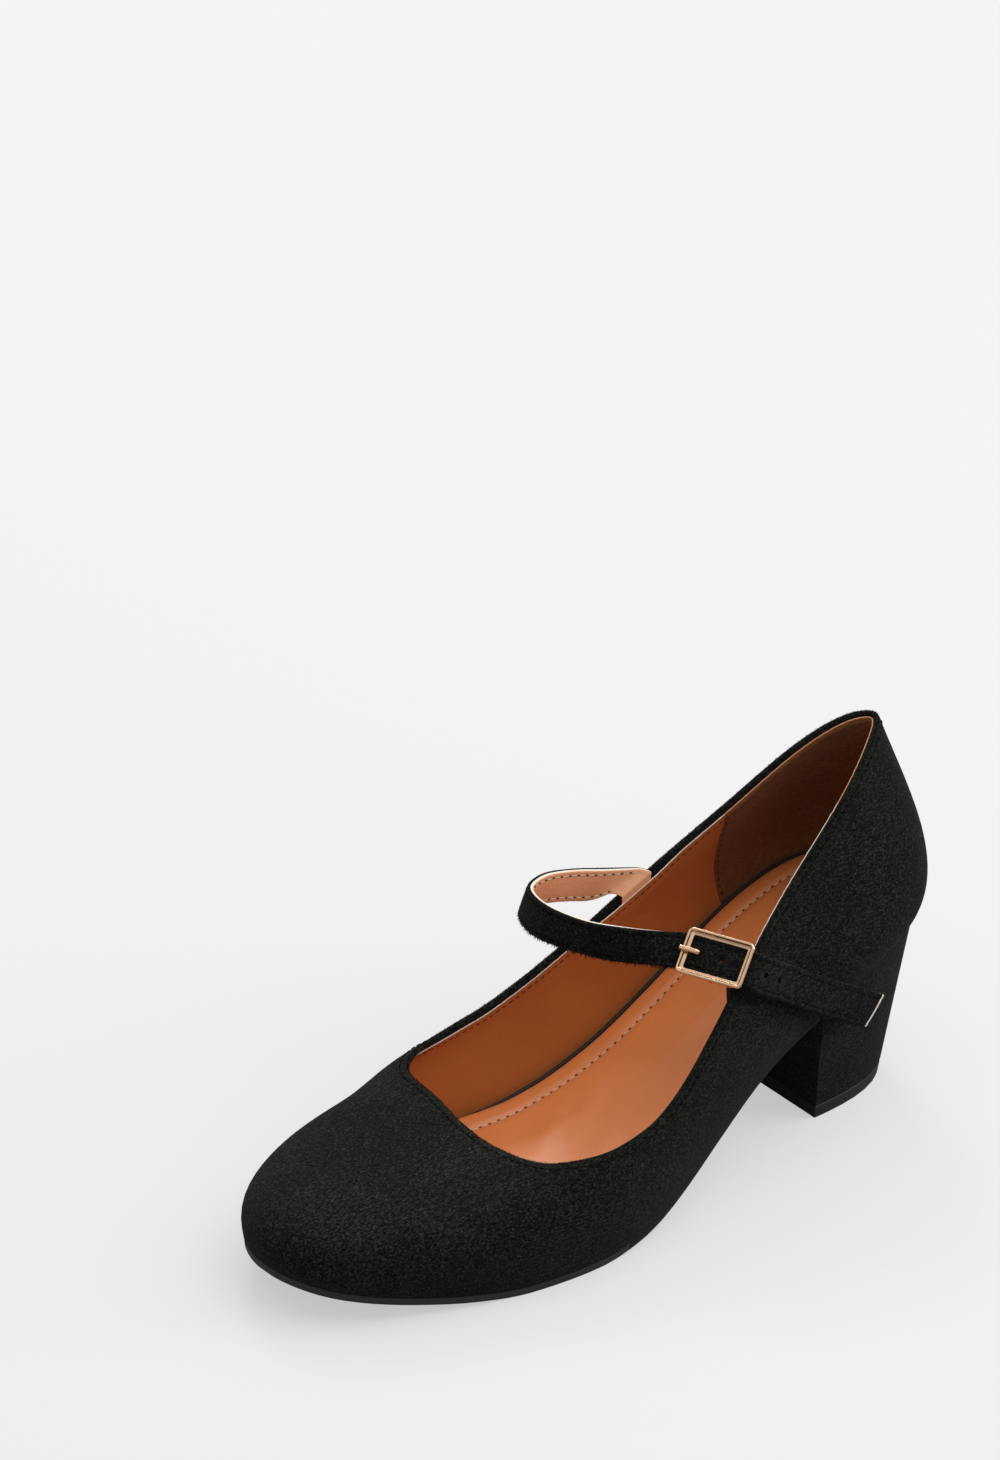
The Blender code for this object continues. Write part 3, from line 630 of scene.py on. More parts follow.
def through(points, where, closed=False):
    """Catmull-Rom curve through points along axis 0. The ends of an open line are extended straight."""
    count = len(points)
    where = np.asarray(where, float)
    where = np.mod(where, count) if closed else np.clip(where, 0, count - 1 - 1e-9)
    index = where.astype(int)
    t = (where - index).reshape((-1,) + (1,) * (points.ndim - 1))
    if closed:
        a, b, c, d = (points[(index + shift) % count] for shift in (-1, 0, 1, 2))
    else:
        line = np.concatenate([2 * points[:1] - points[1:2], points, 2 * points[-1:] - points[-2:-1]])
        a, b, c, d = (line[index + shift] for shift in range(4))
    return 0.5 * (2 * b + (c - a) * t + (2 * a - 5 * b + 4 * c - d) * t**2 + (3 * b - a - 3 * c + d) * t**3)


def columns_at(around):
    """Outer and inner columns, topline first, at places round the shoe (0 to 1 from the toe)."""
    where = np.asarray(around, float) * COLUMNS
    return tuple(through(rows.transpose(1, 0, 2), where, closed=True) for rows in (outer_rows, inner_rows))


def wall_at(around, down, depth):
    """Points of the wall; around, down and depth are arrays of one length."""
    arrays = np.broadcast_arrays(around, down, depth)
    around, down, depth = (np.asarray(value, float).ravel() for value in arrays)
    outside, inside = columns_at(around)
    places = np.empty((len(around), 3))
    for item in range(len(around)):
        lengths = lengths_along(outside[item])
        row = np.interp(down[item], lengths, np.arange(len(lengths)))
        face = through(outside[item], [row])[0]
        lining = through(inside[item], [row])[0]
        places[item] = face + (lining - face) / np.linalg.norm(lining - face) * depth[item]
    return places


def wall_length(around):
    """How far it is down the outside from the topline to the feather edge."""
    outside, _ = columns_at([around])
    return float(np.linalg.norm(np.diff(outside[0], axis=0), axis=1).sum())


for name, place in (("toe", 0.0), ("outer side", 0.25), ("heel", 0.5), ("inner side", 0.75)):
    print(name, "wall from topline to feather edge:", round(wall_length(place), 4))

# %% [markdown]
# A lasted shell, a lining or a binding is a tube: a profile swept round the shoe. `loft` starts from an open
# cone, cuts it into rows and columns, and moves each vertex to the place worked out for it.


# %% Pieces from grids
def add_piece(name, shape, materials, pieces_replaced=()):
    """A finished object that rides on the shoe."""
    mesh = mesh_of(name, shape)
    for material in materials:
        mesh.materials.append(material)
    mesh.polygons.foreach_set("use_smooth", [True] * len(mesh.polygons))
    piece = add_object(name, mesh)
    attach(piece, "root")
    if pieces_replaced:
        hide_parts(*pieces_replaced)
    print(name, len(mesh.polygons), "faces")
    return piece


def loft(places, closed, material_of=None):
    """A sheet of quads through places[row, column, xyz]. Columns run round; rows may close on themselves."""
    rows, columns, _ = places.shape
    shape = bmesh.new()
    bmesh.ops.create_cone(shape, cap_ends=False, segments=columns, radius1=1.0, radius2=1.0, depth=2.0)
    upright = [edge for edge in shape.edges if abs(edge.verts[0].co.z - edge.verts[1].co.z) > 1.0]
    made_rows = rows + 1 if closed else rows
    if made_rows > 2:
        bmesh.ops.subdivide_edges(shape, edges=upright, cuts=made_rows - 2, use_grid_fill=True)
    for vertex in shape.verts:
        turn = int(round(atan2(vertex.co.y, vertex.co.x) / tau * columns)) % columns
        row = int(round((vertex.co.z + 1.0) / 2.0 * (made_rows - 1)))
        vertex.co = places[row % rows, turn]
        vertex.index = row * columns + turn
    if material_of:
        for face in shape.faces:
            face.material_index = material_of([divmod(vertex.index, columns) for vertex in face.verts])
    if closed:
        bmesh.ops.remove_doubles(shape, verts=shape.verts[:], dist=1e-7)
    return shape


def facing_out(shape):
    """Normals of a closed piece made to point outward."""
    bmesh.ops.recalc_face_normals(shape, faces=shape.faces[:])
    if shape.calc_volume(signed=True) < 0:
        bmesh.ops.reverse_faces(shape, faces=shape.faces[:])
    return shape


def near_ring(points, number):
    """Evenly spaced parameters round a ring of points, so that the columns stay the same width."""
    lengths = lengths_along(np.concatenate([points, points[:1]]))
    wanted = np.linspace(0, lengths[-1], number, endpoint=False)
    return np.interp(wanted, lengths, np.arange(len(points) + 1)) / len(points)


# %% [markdown]
# Sewing is drawn as separate stitches, because a close view shows each one as a short bead of thread sunk a
# little at its ends. Each is a small ball drawn out along the seam, repeated along a line.


# %% Stitches
STITCH_SEGMENTS = 6
STITCH_FLAT = 0.8
STITCH_RINGS = 5
BATCH = 100


def resample(points, step):
    """Points at even steps along a line, with the direction at each."""
    points = np.asarray(points, float)
    lengths = lengths_along(points)
    count = max(2, int(lengths[-1] / step))
    middle = (np.arange(count) + 0.5) * lengths[-1] / count

    def at(distance):
        return np.stack([np.interp(distance, lengths, points[:, axis]) for axis in range(3)], axis=1)

    ahead = at(np.minimum(middle + step * 0.3, lengths[-1]))
    behind = at(np.maximum(middle - step * 0.3, 0.0))
    return at(middle), unit(ahead - behind), middle / lengths[-1]


def in_batches(items, build):
    """One shape of many small ones. An operator visits its whole mesh, so small batches are quick."""
    shape = bmesh.new()
    for first in range(0, len(items), BATCH):
        batch = bmesh.new()
        for item in items[first:first + BATCH]:
            build(batch, item)
        page = mesh_of("batch", batch)
        shape.from_mesh(page)
        bpy.data.meshes.remove(page)
    return shape


def stitch_row(name, lines, material, pitch, length, width, sink=0.25, between=False):
    """Stitches along lines of (points, normals), or, with between, dark beads halfway between the stitches
    that paint the shade in the needle's holes.
    """
    placed = []
    for points, normals in lines:
        centres, along, share = resample(points, pitch)
        if between:
            centres = (centres[1:] + centres[:-1]) / 2
            along, share = along[1:], (share[1:] + share[:-1]) / 2
        spots = np.linspace(0, 1, len(normals))
        facing = np.stack([np.interp(share, spots, row) for row in np.asarray(normals).T], axis=1)
        facing -= along * np.sum(facing * along, axis=1, keepdims=True)
        facing = unit(facing)
        across = np.cross(facing, along)
        for centre, forward, side, out in zip(centres, along, across, facing):
            middle = centre + out * width * (0.5 - sink)
            columns = (side * width, out * width * STITCH_FLAT, forward * length, middle)
            rows = [[column[axis] for column in columns] for axis in range(3)]
            placed.append(Matrix([*rows, (0.0, 0.0, 0.0, 1.0)]))

    def one_stitch(batch, matrix):
        bmesh.ops.create_uvsphere(
            batch, u_segments=STITCH_SEGMENTS, v_segments=STITCH_RINGS, radius=0.5, matrix=matrix
        )

    return add_piece(name, facing_out(in_batches(placed, one_stitch)), [material])


# %% [markdown]
# ## The upper
#
# The upper is the suede outside, pulled over a last and turned under at the feather edge, with its top edge
# folded over a thin tape. It is one closed skin here: up the outside, over a rounded fold, and down the
# inside behind the lining. The fold's radius is half the wall.

# %% Suede
AROUND = 432
FOLD_RADIUS = WALL / 2
FOLD_STEPS = 7
WALL_ROWS = 34
EDGE_ZONE = 0.012
ZONE_ROWS = 7
suede_columns = near_ring(outer_rows[HALF // 2], AROUND)


def profile(around):
    """(down, depth) of the skin's section, from the outer foot over the rim to the inner foot."""
    length = wall_length(around)
    zone = np.linspace(FOLD_RADIUS, EDGE_ZONE, ZONE_ROWS)
    rest = np.linspace(EDGE_ZONE, length, WALL_ROWS - ZONE_ROWS + 1)[1:]
    downs = np.concatenate([zone, rest])
    turn = np.linspace(0, pi, FOLD_STEPS + 2)[1:-1]
    outer = [(down, 0.0) for down in downs[::-1]]
    fold = [(FOLD_RADIUS * (1 - sin(angle)), WALL * (1 - cos(angle)) / 2) for angle in turn]
    inner = [(down, WALL) for down in downs]
    return outer + fold + inner


def swept(columns, section):
    """The grid of a section swept round the shoe; section(around) gives (down, depth) pairs."""
    sections = [section(float(around)) for around in columns]
    rows = len(sections[0])
    around = np.repeat(np.asarray(columns)[:, None], rows, axis=1)
    down = np.array([[pair[0] for pair in each] for each in sections])
    depth = np.array([[pair[1] for pair in each] for each in sections])
    places = wall_at(around, down, depth).reshape(len(columns), rows, 3)
    return places.transpose(1, 0, 2)


suede_grid = swept(suede_columns, profile)
suede_shape = loft(suede_grid, closed=True)
add_piece("upper_suede", suede_shape, [BLACK_SUEDE], pieces_replaced=["upper"])

# %% [markdown]
# ## Plates that follow the foot
#
# The sock and the sole are plates whose faces rise and fall along the shoe. The sharp loops of a plate's
# solid are the outlines of its two faces. Each outline is split at the toe and the heel into a left and a
# right side, and smooth curves along them give the finished piece its edge.


# %% Outlines of a plate
SIDE_STEPS = 3
END_STEPS = 6
SAME_ROW = 2e-5
NORMAL_PASSES = 8
END_ROOM = 0.006


def plate_sides(node, upper):
    """The right and the left side of a plate's upper or lower face, each from the toe to the heel."""
    shape = welded(node)
    places = places_of(shape)
    loops = sorted(sharp_loops(shape), key=len)[-2:]
    shape.free()
    loop = places[(max if upper else min)(loops, key=lambda each: places[each][:, 2].mean())]
    ring = loop[counterclockwise(loop)]
    toe = [index for index in range(-5, 5) if ring[index][1] < ring[:, 1].min() + SAME_ROW]
    ring = np.roll(ring, -max(toe, key=lambda index: ring[index][0]), axis=0)
    heel = np.flatnonzero(ring[:, 1] > ring[:, 1].max() - SAME_ROW)
    right_side = ring[: heel[0] + 1]
    left_side = ring[heel[-1] :][::-1]
    return right_side, left_side


def smooth_side(side):
    where = np.linspace(0, len(side) - 1, (len(side) - 1) * SIDE_STEPS + 1)
    return through(side, where)


class Plate:
    """The outline of a plate and its two heights, with rings at any distance inside the edge."""

    def __init__(self, node):
        right_side, left_side = (smooth_side(side) for side in plate_sides(node, True))
        low_side = plate_sides(node, False)[0]
        self.heights = (right_side[:, 1], right_side[:, 2])
        self.under = (low_side[:, 1], low_side[:, 2])
        right = right_side[:, :2]
        left_x = np.interp(right[:, 1], left_side[:, 1], left_side[:, 0])
        left = np.column_stack([left_x, right[:, 1]])
        share = np.linspace(0, 1, END_STEPS + 2)[1:-1, None]
        back = right[-1] * (1 - share) + left[-1] * share
        front = left[0] * (1 - share) + right[0] * share
        self.plan = np.concatenate([right, back, left[::-1], front])
        middle = (left + right) / 2
        self.middle = np.concatenate(
            [middle, np.repeat(middle[-1:], END_STEPS, 0), middle[::-1], np.repeat(middle[:1], END_STEPS, 0)]
        )
        along = np.roll(self.plan, -2, axis=0) - np.roll(self.plan, 2, axis=0)
        inward = unit(np.stack([-along[:, 1], along[:, 0]], axis=1))
        for _ in range(NORMAL_PASSES):
            inward = (np.roll(inward, 1, axis=0) + 2 * inward + np.roll(inward, -1, axis=0)) / 4
        self.inward = unit(inward)

    def height(self, y, upper=True):
        return np.interp(y, *(self.heights if upper else self.under))

    def ring(self, inset, share=0.0, upper=True, lift=0.0):
        """The edge moved in by a distance, then a share of the way to the centre line."""
        plan = self.plan + self.inward * inset
        start, end = self.middle[0, 1] + inset, self.middle[:, 1].max() - inset
        centre = self.middle.copy()
        centre[:, 1] = np.clip(centre[:, 1], start + END_ROOM, end - END_ROOM)
        plan = plan * (1 - share) + centre * share
        height = self.height(plan[:, 1], upper) + lift
        return np.column_stack([plan, height])


def zipped(shape):
    """Closes the two centre lines of a lofted plate, where opposite columns meet."""
    bmesh.ops.remove_doubles(shape, verts=shape.verts[:], dist=2e-5)
    bmesh.ops.dissolve_degenerate(shape, dist=1e-6, edges=shape.edges[:])
    return facing_out(shape)


# %% [markdown]
# ## The sock
#
# The sock is a foam pad covered in tan leather. Its edge is turned down, a row of stitching holds the foam a
# few millimetres in, and the leather rises softly on both sides of the row. Under the middle of the foot
# the foam has settled in three shallow slanting folds, which show as streaks of light.

# %% Sock
STITCH_INSET = 0.0066
SOCK_EDGE = 0.0011
PAD_RISE, PAD_REACH = 0.0009, 0.004
GROOVE_DEPTH, GROOVE_WIDTH = 0.00075, 0.0012
CURL_UP, CURL_START, CURL_RUN, CURL_WIDTH = 0.0016, -0.002, 0.03, 0.0055
FOLD_MARGIN, FOLD_FADE = 0.0085, 0.006
SOCK_FLAT = 0.010
SOCK_CROWN = 0.0006
EDGE_INSETS = (0.002, 0.003, 0.004, 0.0048, 0.0054, 0.0059, 0.0062, 0.0065, 0.007, 0.0078, 0.0088, 0.010)
FOLD_SLANT = -0.65
SOCK_FOLDS = [
    ((-0.0075, -0.008), 0.012, 0.0034, 0.0009),
    ((-0.0035, 0.0), 0.013, 0.0036, 0.0010),
    ((0.0135, -0.010), 0.013, 0.0038, 0.0007),
]
sock = Plate("sock")


def sock_lift(inset):
    """Height of the leather over the solid at a distance in from the edge."""
    rise = PAD_RISE * (1 - np.exp(-inset / PAD_REACH))
    return rise - GROOVE_DEPTH * np.exp(-(((inset - STITCH_INSET) / GROOVE_WIDTH) ** 2))


sock_rings = [sock.ring(SOCK_FLAT, share, upper=False) for share in (1.0, 0.5)]
sock_rings.append(sock.ring(0.004, upper=False))
for angle in np.linspace(-pi / 2, pi / 2, 7):
    upper_half = angle >= 0
    inset = SOCK_EDGE * (1 - cos(angle))
    lift = SOCK_EDGE * (sin(angle) + (-1 if upper_half else 1))
    sock_rings.append(sock.ring(inset, upper=upper_half, lift=lift))
for inset in EDGE_INSETS:
    sock_rings.append(sock.ring(inset, lift=sock_lift(inset)))
for share in np.linspace(0, 1, 15)[1:]:
    sock_rings.append(sock.ring(SOCK_FLAT, share, lift=sock_lift(SOCK_FLAT) + SOCK_CROWN * share))
sock_grid = np.array(sock_rings)


def smooth_step(value):
    value = np.clip(value, 0, 1)
    return value * value * (3 - 2 * value)


def settled(places):
    """The leather with its front edge curled up the lining, and the folds where the foam has settled."""
    places = np.array(places, float)
    plan = sock.plan
    flat = places.reshape(-1, 3)
    gaps = np.array([np.min(np.hypot(plan[:, 0] - point[0], plan[:, 1] - point[1])) for point in flat])
    forward = np.clip((CURL_START - flat[:, 1]) / CURL_RUN, 0, 1)
    curl = forward * np.clip(1 - gaps / CURL_WIDTH, 0, 1) ** 2
    flat[:, 2] += CURL_UP * curl
    inside = smooth_step((gaps - FOLD_MARGIN) / FOLD_FADE)
    for middle, reach, width, height in SOCK_FOLDS:
        line = middle[0] + (flat[:, 1] - middle[1]) * FOLD_SLANT
        along_fold = np.exp(-(((flat[:, 1] - middle[1]) / reach) ** 2))
        across_fold = np.exp(-(((flat[:, 0] - line) / width) ** 2))
        flat[:, 2] += height * along_fold * across_fold * inside
    return flat.reshape(places.shape)


sock_grid = settled(sock_grid)
sock_shape = zipped(loft(sock_grid, closed=False))
sock_piece = add_piece("sock_padded", sock_shape, [TAN_SOCK], pieces_replaced=["sock"])

# %% Sock stitches
STITCH_PITCH = 0.003
sock_line = settled(sock.ring(STITCH_INSET, lift=sock_lift(STITCH_INSET)))
sock_line = np.concatenate([sock_line, sock_line[:1]])
up_normals = np.tile([0.0, 0.0, 1.0], (2, 1))
stitch_row(
    "sock_stitches", [(sock_line, up_normals)], CREAM_THREAD, STITCH_PITCH, 0.0019, 0.00052
)
# Dark beads between the stitches are painted shade in the needle holes.
stitch_row(
    "sock_pinhole_shade", [(sock_line, up_normals)], BROWN_THREAD_AND_HOLE_SHADE, STITCH_PITCH, 0.0007, 0.0007,
    sink=0.4, between=True,
)

# %% [markdown]
# ## The insole board
#
# The footbed is the insole board. Only its black wrapped edge shows, as a fine line round the sock. The solid
# stays and gets the wrap's finish, and a thin rounded roll is laid along its edge.

# %% Footbed
footbed_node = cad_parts["footbed"]
footbed_node.data.materials.clear()
footbed_node.data.materials.append(BLACK_WRAP)
WRAP_RADIUS = 0.00062
WRAP_SIDES = 10
WRAP_OFFSET = -0.0007
WRAP_DROP = 0.0011
WRAP_DROP_START, WRAP_DROP_RUN = -0.012, 0.02
wrap_rings = []
for angle in np.linspace(0, tau, WRAP_SIDES, endpoint=False):
    ring = sock.ring(WRAP_OFFSET - WRAP_RADIUS * cos(angle), lift=WRAP_OFFSET + WRAP_RADIUS * sin(angle))
    ring[:, 2] -= WRAP_DROP * np.clip((WRAP_DROP_START - ring[:, 1]) / WRAP_DROP_RUN, 0, 1)
    wrap_rings.append(ring)
wrap_shape = facing_out(loft(np.array(wrap_rings), closed=True))
add_piece("footbed_wrapped_edge", wrap_shape, [BLACK_WRAP])

# %% [markdown]
# ## The sole
#
# The outsole is a thin moulded rubber plate. Its edge is trimmed square after it is stuck on, with both
# corners just broken. The edge is a lighter grey at the forefoot and darker under the waist.

# %% Outsole
outsole = Plate("outsole")
CORNER = 0.00035
SOLE_INSET = 0.003
WAIST_START = -0.02
EDGE_ROWS = (3, 8)
outsole_rings = [outsole.ring(SOLE_INSET, share, upper=False) for share in (1.0, 0.5, 0.0)]
for inset, upper_half, lift in (
    (CORNER, False, 0.0),
    (CORNER * 0.3, False, CORNER * 0.3),
    (0.0, False, CORNER),
    (0.0, True, -CORNER),
    (CORNER * 0.3, True, -CORNER * 0.3),
    (CORNER, True, 0.0),
):
    outsole_rings.append(outsole.ring(inset, upper=upper_half, lift=lift))
outsole_rings.extend(outsole.ring(SOLE_INSET, share) for share in (0.0, 0.5, 1.0))
outsole_grid = np.array(outsole_rings)


def outsole_material(corners):
    """0 the tread, 1 the grey edge of the forefoot, 2 the darker edge of the waist."""
    rows = [row for row, _ in corners]
    if min(rows) < EDGE_ROWS[0] or max(rows) > EDGE_ROWS[1]:
        return 0
    return 1 if outsole.plan[corners[0][1]][1] < WAIST_START else 2


outsole_shape = zipped(loft(outsole_grid, closed=False, material_of=outsole_material))
outsole_finishes = [RUBBER, SOLE_EDGE, WAIST_EDGE]
add_piece(
    "outsole_rubber", outsole_shape, outsole_finishes, pieces_replaced=["outsole"]
)


# %% [markdown]
# ## The heel
#
# The block is moulded, then wrapped in the same suede as the upper, which rounds every corner a little. The
# top piece under it is a hard rubber disc, trimmed flush with the block.


# %% Heel block and top piece
HEEL_SHARP = radians(40)
SUEDE_ROUNDING = 0.0006
RUBBER_ROUNDING = 0.0003


def softened(node, sharp, radius, segments):
    """The solid with its triangles joined into quads and its sharp edges rounded."""
    shape = welded(node)
    unchecked = {f"cmp_{kind}": False for kind in ("seam", "sharp", "uvs", "vcols", "materials")}
    bmesh.ops.join_triangles(
        shape,
        faces=shape.faces[:],
        angle_face_threshold=radians(12),
        angle_shape_threshold=radians(100),
        **unchecked,
    )
    edges = [edge for edge in shape.edges if len(edge.link_faces) == 2 and edge.calc_face_angle() > sharp]
    bmesh.ops.bevel(
        shape, geom=edges, offset=radius, segments=segments, profile=0.5, affect="EDGES", material=-1,
        clamp_overlap=True,
    )
    return facing_out(shape)


heel = add_piece(
    "heel_suede", softened("heel_block", HEEL_SHARP, SUEDE_ROUNDING, 3), [BLACK_SUEDE],
    pieces_replaced=["heel_block"],
)
lift_piece = add_piece(
    "heel_top_piece", softened("top_piece", HEEL_SHARP, RUBBER_ROUNDING, 2), [RUBBER],
    pieces_replaced=["top_piece"],
)
for piece in (heel, lift_piece):
    weighted = piece.modifiers.new("even shading", "WEIGHTED_NORMAL")
    weighted.keep_sharp = True

# %% [markdown]
# ## The strap
#
# The strap is suede glued to a strip of tan leather and cut with a sharp knife, so its edge shows the pale
# core between the two. The solid has four long edges. Every point of the strap is found between them: how far
# along, how far across from the upper edge, and how deep from the suede to the tan side.

# %% Long edges of the strap
EDGE_POINTS = 97
END_NEAR = 0.015
END_FLAT = 0.0003
TAIL_REACH = 0.012
CORNER_LINKS = 3
strap_shape = welded("strap")
strap_places = places_of(strap_shape)
edge_links = sharp_links(strap_shape, STRAP_SHARP)
strap_shape.free()
back_end = strap_places[:, 1].max()
tail_corners = [
    index
    for index, links in edge_links.items()
    if len(links) == CORNER_LINKS
    and strap_places[index][1] > back_end - TAIL_REACH
    and strap_places[index][0] > 0
]
tail_corners.sort(key=lambda index: -strap_places[index][2])
upper_pair = sorted(tail_corners[:2], key=lambda index: -strap_places[index][0])
lower_pair = sorted(tail_corners[2:], key=lambda index: -strap_places[index][0])
tail_centre = strap_places[tail_corners].mean(axis=0)
end_normal = np.cross(
    strap_places[upper_pair[1]] - strap_places[upper_pair[0]],
    strap_places[lower_pair[0]] - strap_places[upper_pair[0]],
)
end_normal /= np.linalg.norm(end_normal)
from_tail = strap_places - tail_centre
in_end_plane = (np.abs(from_tail @ end_normal) < END_FLAT) & (np.linalg.norm(from_tail, axis=1) < END_NEAR)
end_face = set(np.flatnonzero(in_end_plane).tolist())


def long_edge(corner):
    """The vertices from the root to a corner of the tail, without those of the end face."""
    path = [corner]
    seen = set(end_face)
    while len(path) < EDGE_POINTS:
        onward = [index for index in edge_links[path[-1]] if index not in seen]
        path.append(onward[0])
        seen.add(onward[0])
    return strap_places[path[::-1]]


strap_edges = np.array([long_edge(corner) for corner in (*upper_pair, *lower_pair)])
strap_length = float(np.linalg.norm(np.diff(strap_edges.mean(axis=0), axis=0), axis=1).sum())
print("strap:", round(strap_length, 4), "long, from", *strap_edges[0][[0, -1]].round(4))


def strap_at(along, across, depth):
    """Points of the strap; along is 0 at the root and 1 at the tail, depth 0 is the suede face."""
    along, across, depth = (np.asarray(value, float) for value in np.broadcast_arrays(along, across, depth))
    where = along.ravel() * (EDGE_POINTS - 1)
    corners = [through(edge, where).reshape(along.shape + (3,)) for edge in strap_edges]
    outer_upper, inner_upper, outer_lower, inner_lower = corners
    suede_side = outer_upper * (1 - across[..., None]) + outer_lower * across[..., None]
    tan_side = inner_upper * (1 - across[..., None]) + inner_lower * across[..., None]
    return suede_side * (1 - depth[..., None]) + tan_side * depth[..., None]


# %% [markdown]
# The strap's root goes down between the suede and the lining and is sewn there. `root_place` gives points of
# that hidden end: across runs from the upper to the lower edge of the strap, and the strap is skived thinner.

# %% Root of the strap
WEDGE = 0.00006
SKIVED = 0.0007
around_fine = np.linspace(0, 1, 1441)[:-1]
rim_line = wall_at(around_fine, 0.0, WALL / 2)


def nearest_around(point):
    return float(around_fine[np.argmin(np.linalg.norm(rim_line - point, axis=1))])


root_upper = nearest_around(strap_edges[0][0])
root_lower = nearest_around(strap_edges[2][0])
print("strap's root along the topline:", round(root_upper, 4), round(root_lower, 4))


def root_place(across, down, depth):
    """Points of the hidden end of the strap, as (across, depth) of its section at a distance down."""
    around = root_upper + (root_lower - root_upper) * across
    return wall_at(around, down, WALL + WEDGE + SKIVED * depth)


# %% [markdown]
# ## The lining
#
# A tan leather lining is glued inside the upper and trimmed just below the fold. On the inner side a band
# of black suede shows over it. On the outer side, behind the buckle, it is trimmed nearly flush. Its cut edge
# is pale where the leather is raw, and tan along most of the heel grip. The lining is one thin closed sheet
# here, and it swells over the root of the strap.

# %% Lining
LINING_DEPTH = WALL + 0.00005
LINING_THICK = 0.00045
SWELL_REACH = 0.026
SWELL_FOOT, SWELL_FADE = 0.014, 0.008
LINING_ROWS = 26
NEAR_EDGE = np.array([0.00008, 0.0003, 0.0008, 0.0016, 0.0028, 0.0045])
PAST_EDGE = 0.0065
EDGE_EASE = 0.00008
FOOT_GAP = 0.0004
DROP_PLACES = [0.0, 0.2, 0.325, 0.345, 0.42, 0.5, 0.56, 0.62, 0.7, 0.85, 1.0]
DROPS = [0.0018, 0.0018, 0.0018, 0.0006, 0.0005, 0.0008, 0.0013, 0.0017, 0.0020, 0.0021, 0.0018]
KNIFE_WOBBLE = 0.00006
GRIP_START = 0.3785
TAN_EDGE_START = 0.43
GRIP_END = 0.6215
lining_columns = near_ring(inner_rows[HALF // 2], AROUND)


def lining_drop(around):
    """How far below the topline the lining is trimmed."""
    ragged = sin(around * tau * 173) + 0.7 * sin(around * tau * 291 + 1.0)
    return float(np.interp(around % 1.0, DROP_PLACES, DROPS)) + KNIFE_WOBBLE * ragged


def swell(around, down):
    """How far the lining stands in over the strap's root."""
    before = smooth_step((around - root_upper + SWELL_REACH) / SWELL_REACH)
    after = smooth_step((root_lower - around + SWELL_REACH) / SWELL_REACH)
    return (SKIVED + WEDGE) * before * after * smooth_step((SWELL_FOOT - down) / SWELL_FADE)


def lining_profile(around):
    """(down, depth) round the thin sheet: cut edge, face towards the foot, back face."""
    drop = lining_drop(around)
    length = wall_length(around) - FOOT_GAP
    rest = np.linspace(drop + PAST_EDGE, length, LINING_ROWS - len(NEAR_EDGE))
    downs = np.concatenate([drop + NEAR_EDGE, rest])
    faces = [(down, LINING_DEPTH + LINING_THICK + swell(around, down)) for down in downs]
    faces[0] = (faces[0][0], faces[0][1] - EDGE_EASE)
    edge = [(drop, LINING_DEPTH + LINING_THICK * share + swell(around, drop)) for share in (0.1, 0.8)]
    behind = [(down, LINING_DEPTH + swell(around, down)) for down in downs[::-1]]
    return edge + faces + behind


lining_grid = swept(lining_columns, lining_profile)
lining_total = lining_grid.shape[0]


def lining_material(corners):
    rows = [row for row, _ in corners]
    turn = lining_columns[corners[0][1]]
    cut_edge = max(rows) <= 2 or (min(rows) == 0 and max(rows) == lining_total - 1)
    if cut_edge:
        return 2 if TAN_EDGE_START < turn < GRIP_END else 1
    return 0


lining_shape = loft(lining_grid, closed=True, material_of=lining_material)
add_piece("lining_leather", lining_shape, [TAN_LINING, RAW_EDGE, RAW_TAN])

# %% [markdown]
# ## The heel grip
#
# Round the heel a second layer with its rough side out keeps the foot from slipping. Its two front edges
# are sewn down along seams that bow a little forward.

# %% Heel grip
GRIP_THICK = 0.00035
GRIP_ROWS = 30
GRIP_COLUMNS = 120
SEAM_BOW = 0.0035
GRIP_FOOT = 0.0005
GRIP_BELOW = 0.0004
GRIP_SUNK = 0.00004
GRIP_EDGE = 0.00005


def seam_around(share, end):
    """Where a seam is along the topline, from the top (0) to the sock (1); end is -1 outer, 1 inner side."""
    middle = (GRIP_START + GRIP_END) / 2
    reach = (GRIP_END - GRIP_START) / 2
    return middle + end * (reach - SEAM_BOW + SEAM_BOW * np.sin(np.pi * np.clip(share * 0.85 + 0.1, 0, 1)))


grip_rings = []
for row in range(GRIP_ROWS + 1):
    share = row / GRIP_ROWS
    turns = np.linspace(seam_around(share, -1), seam_around(share, 1), GRIP_COLUMNS)
    lengths = np.array([wall_length(turn) for turn in turns]) - GRIP_FOOT
    drops = np.array([lining_drop(turn) for turn in turns]) + GRIP_BELOW
    downs = drops + (lengths - drops) * share
    base = LINING_DEPTH + LINING_THICK - GRIP_SUNK
    thick = GRIP_THICK * np.ones(GRIP_COLUMNS)
    thick[[0, -1]] = GRIP_EDGE
    if row in (0, GRIP_ROWS):
        thick *= 0.1
    face = wall_at(turns, downs, base + thick)
    reverse = wall_at(turns, downs, base)
    grip_rings.append(np.concatenate([face, reverse[::-1]]))
grip_shape = loft(np.array(grip_rings), closed=False)
hole_edges = [edge for edge in grip_shape.edges if len(edge.link_faces) == 1]
bmesh.ops.holes_fill(grip_shape, edges=hole_edges, sides=0)
add_piece("heel_grip", facing_out(grip_shape), [GRIP_BROWN])

# %% Seams of the lining
LINING_STITCH = 0.0021
LINING_SEAM = (0.28, 0.9)
GRIP_STITCH = 0.0022
GRIP_MARGIN = 0.002
FACE = LINING_DEPTH + LINING_THICK


def wall_line(turns, downs, depth, towards=1.0):
    """A line on the wall with its normals; towards is 1 for the foot's side and -1 for the outside."""
    points = wall_at(turns, downs, depth)
    beyond = wall_at(turns, downs, np.asarray(depth) + 0.001 * towards)
    return points, unit(beyond - points)


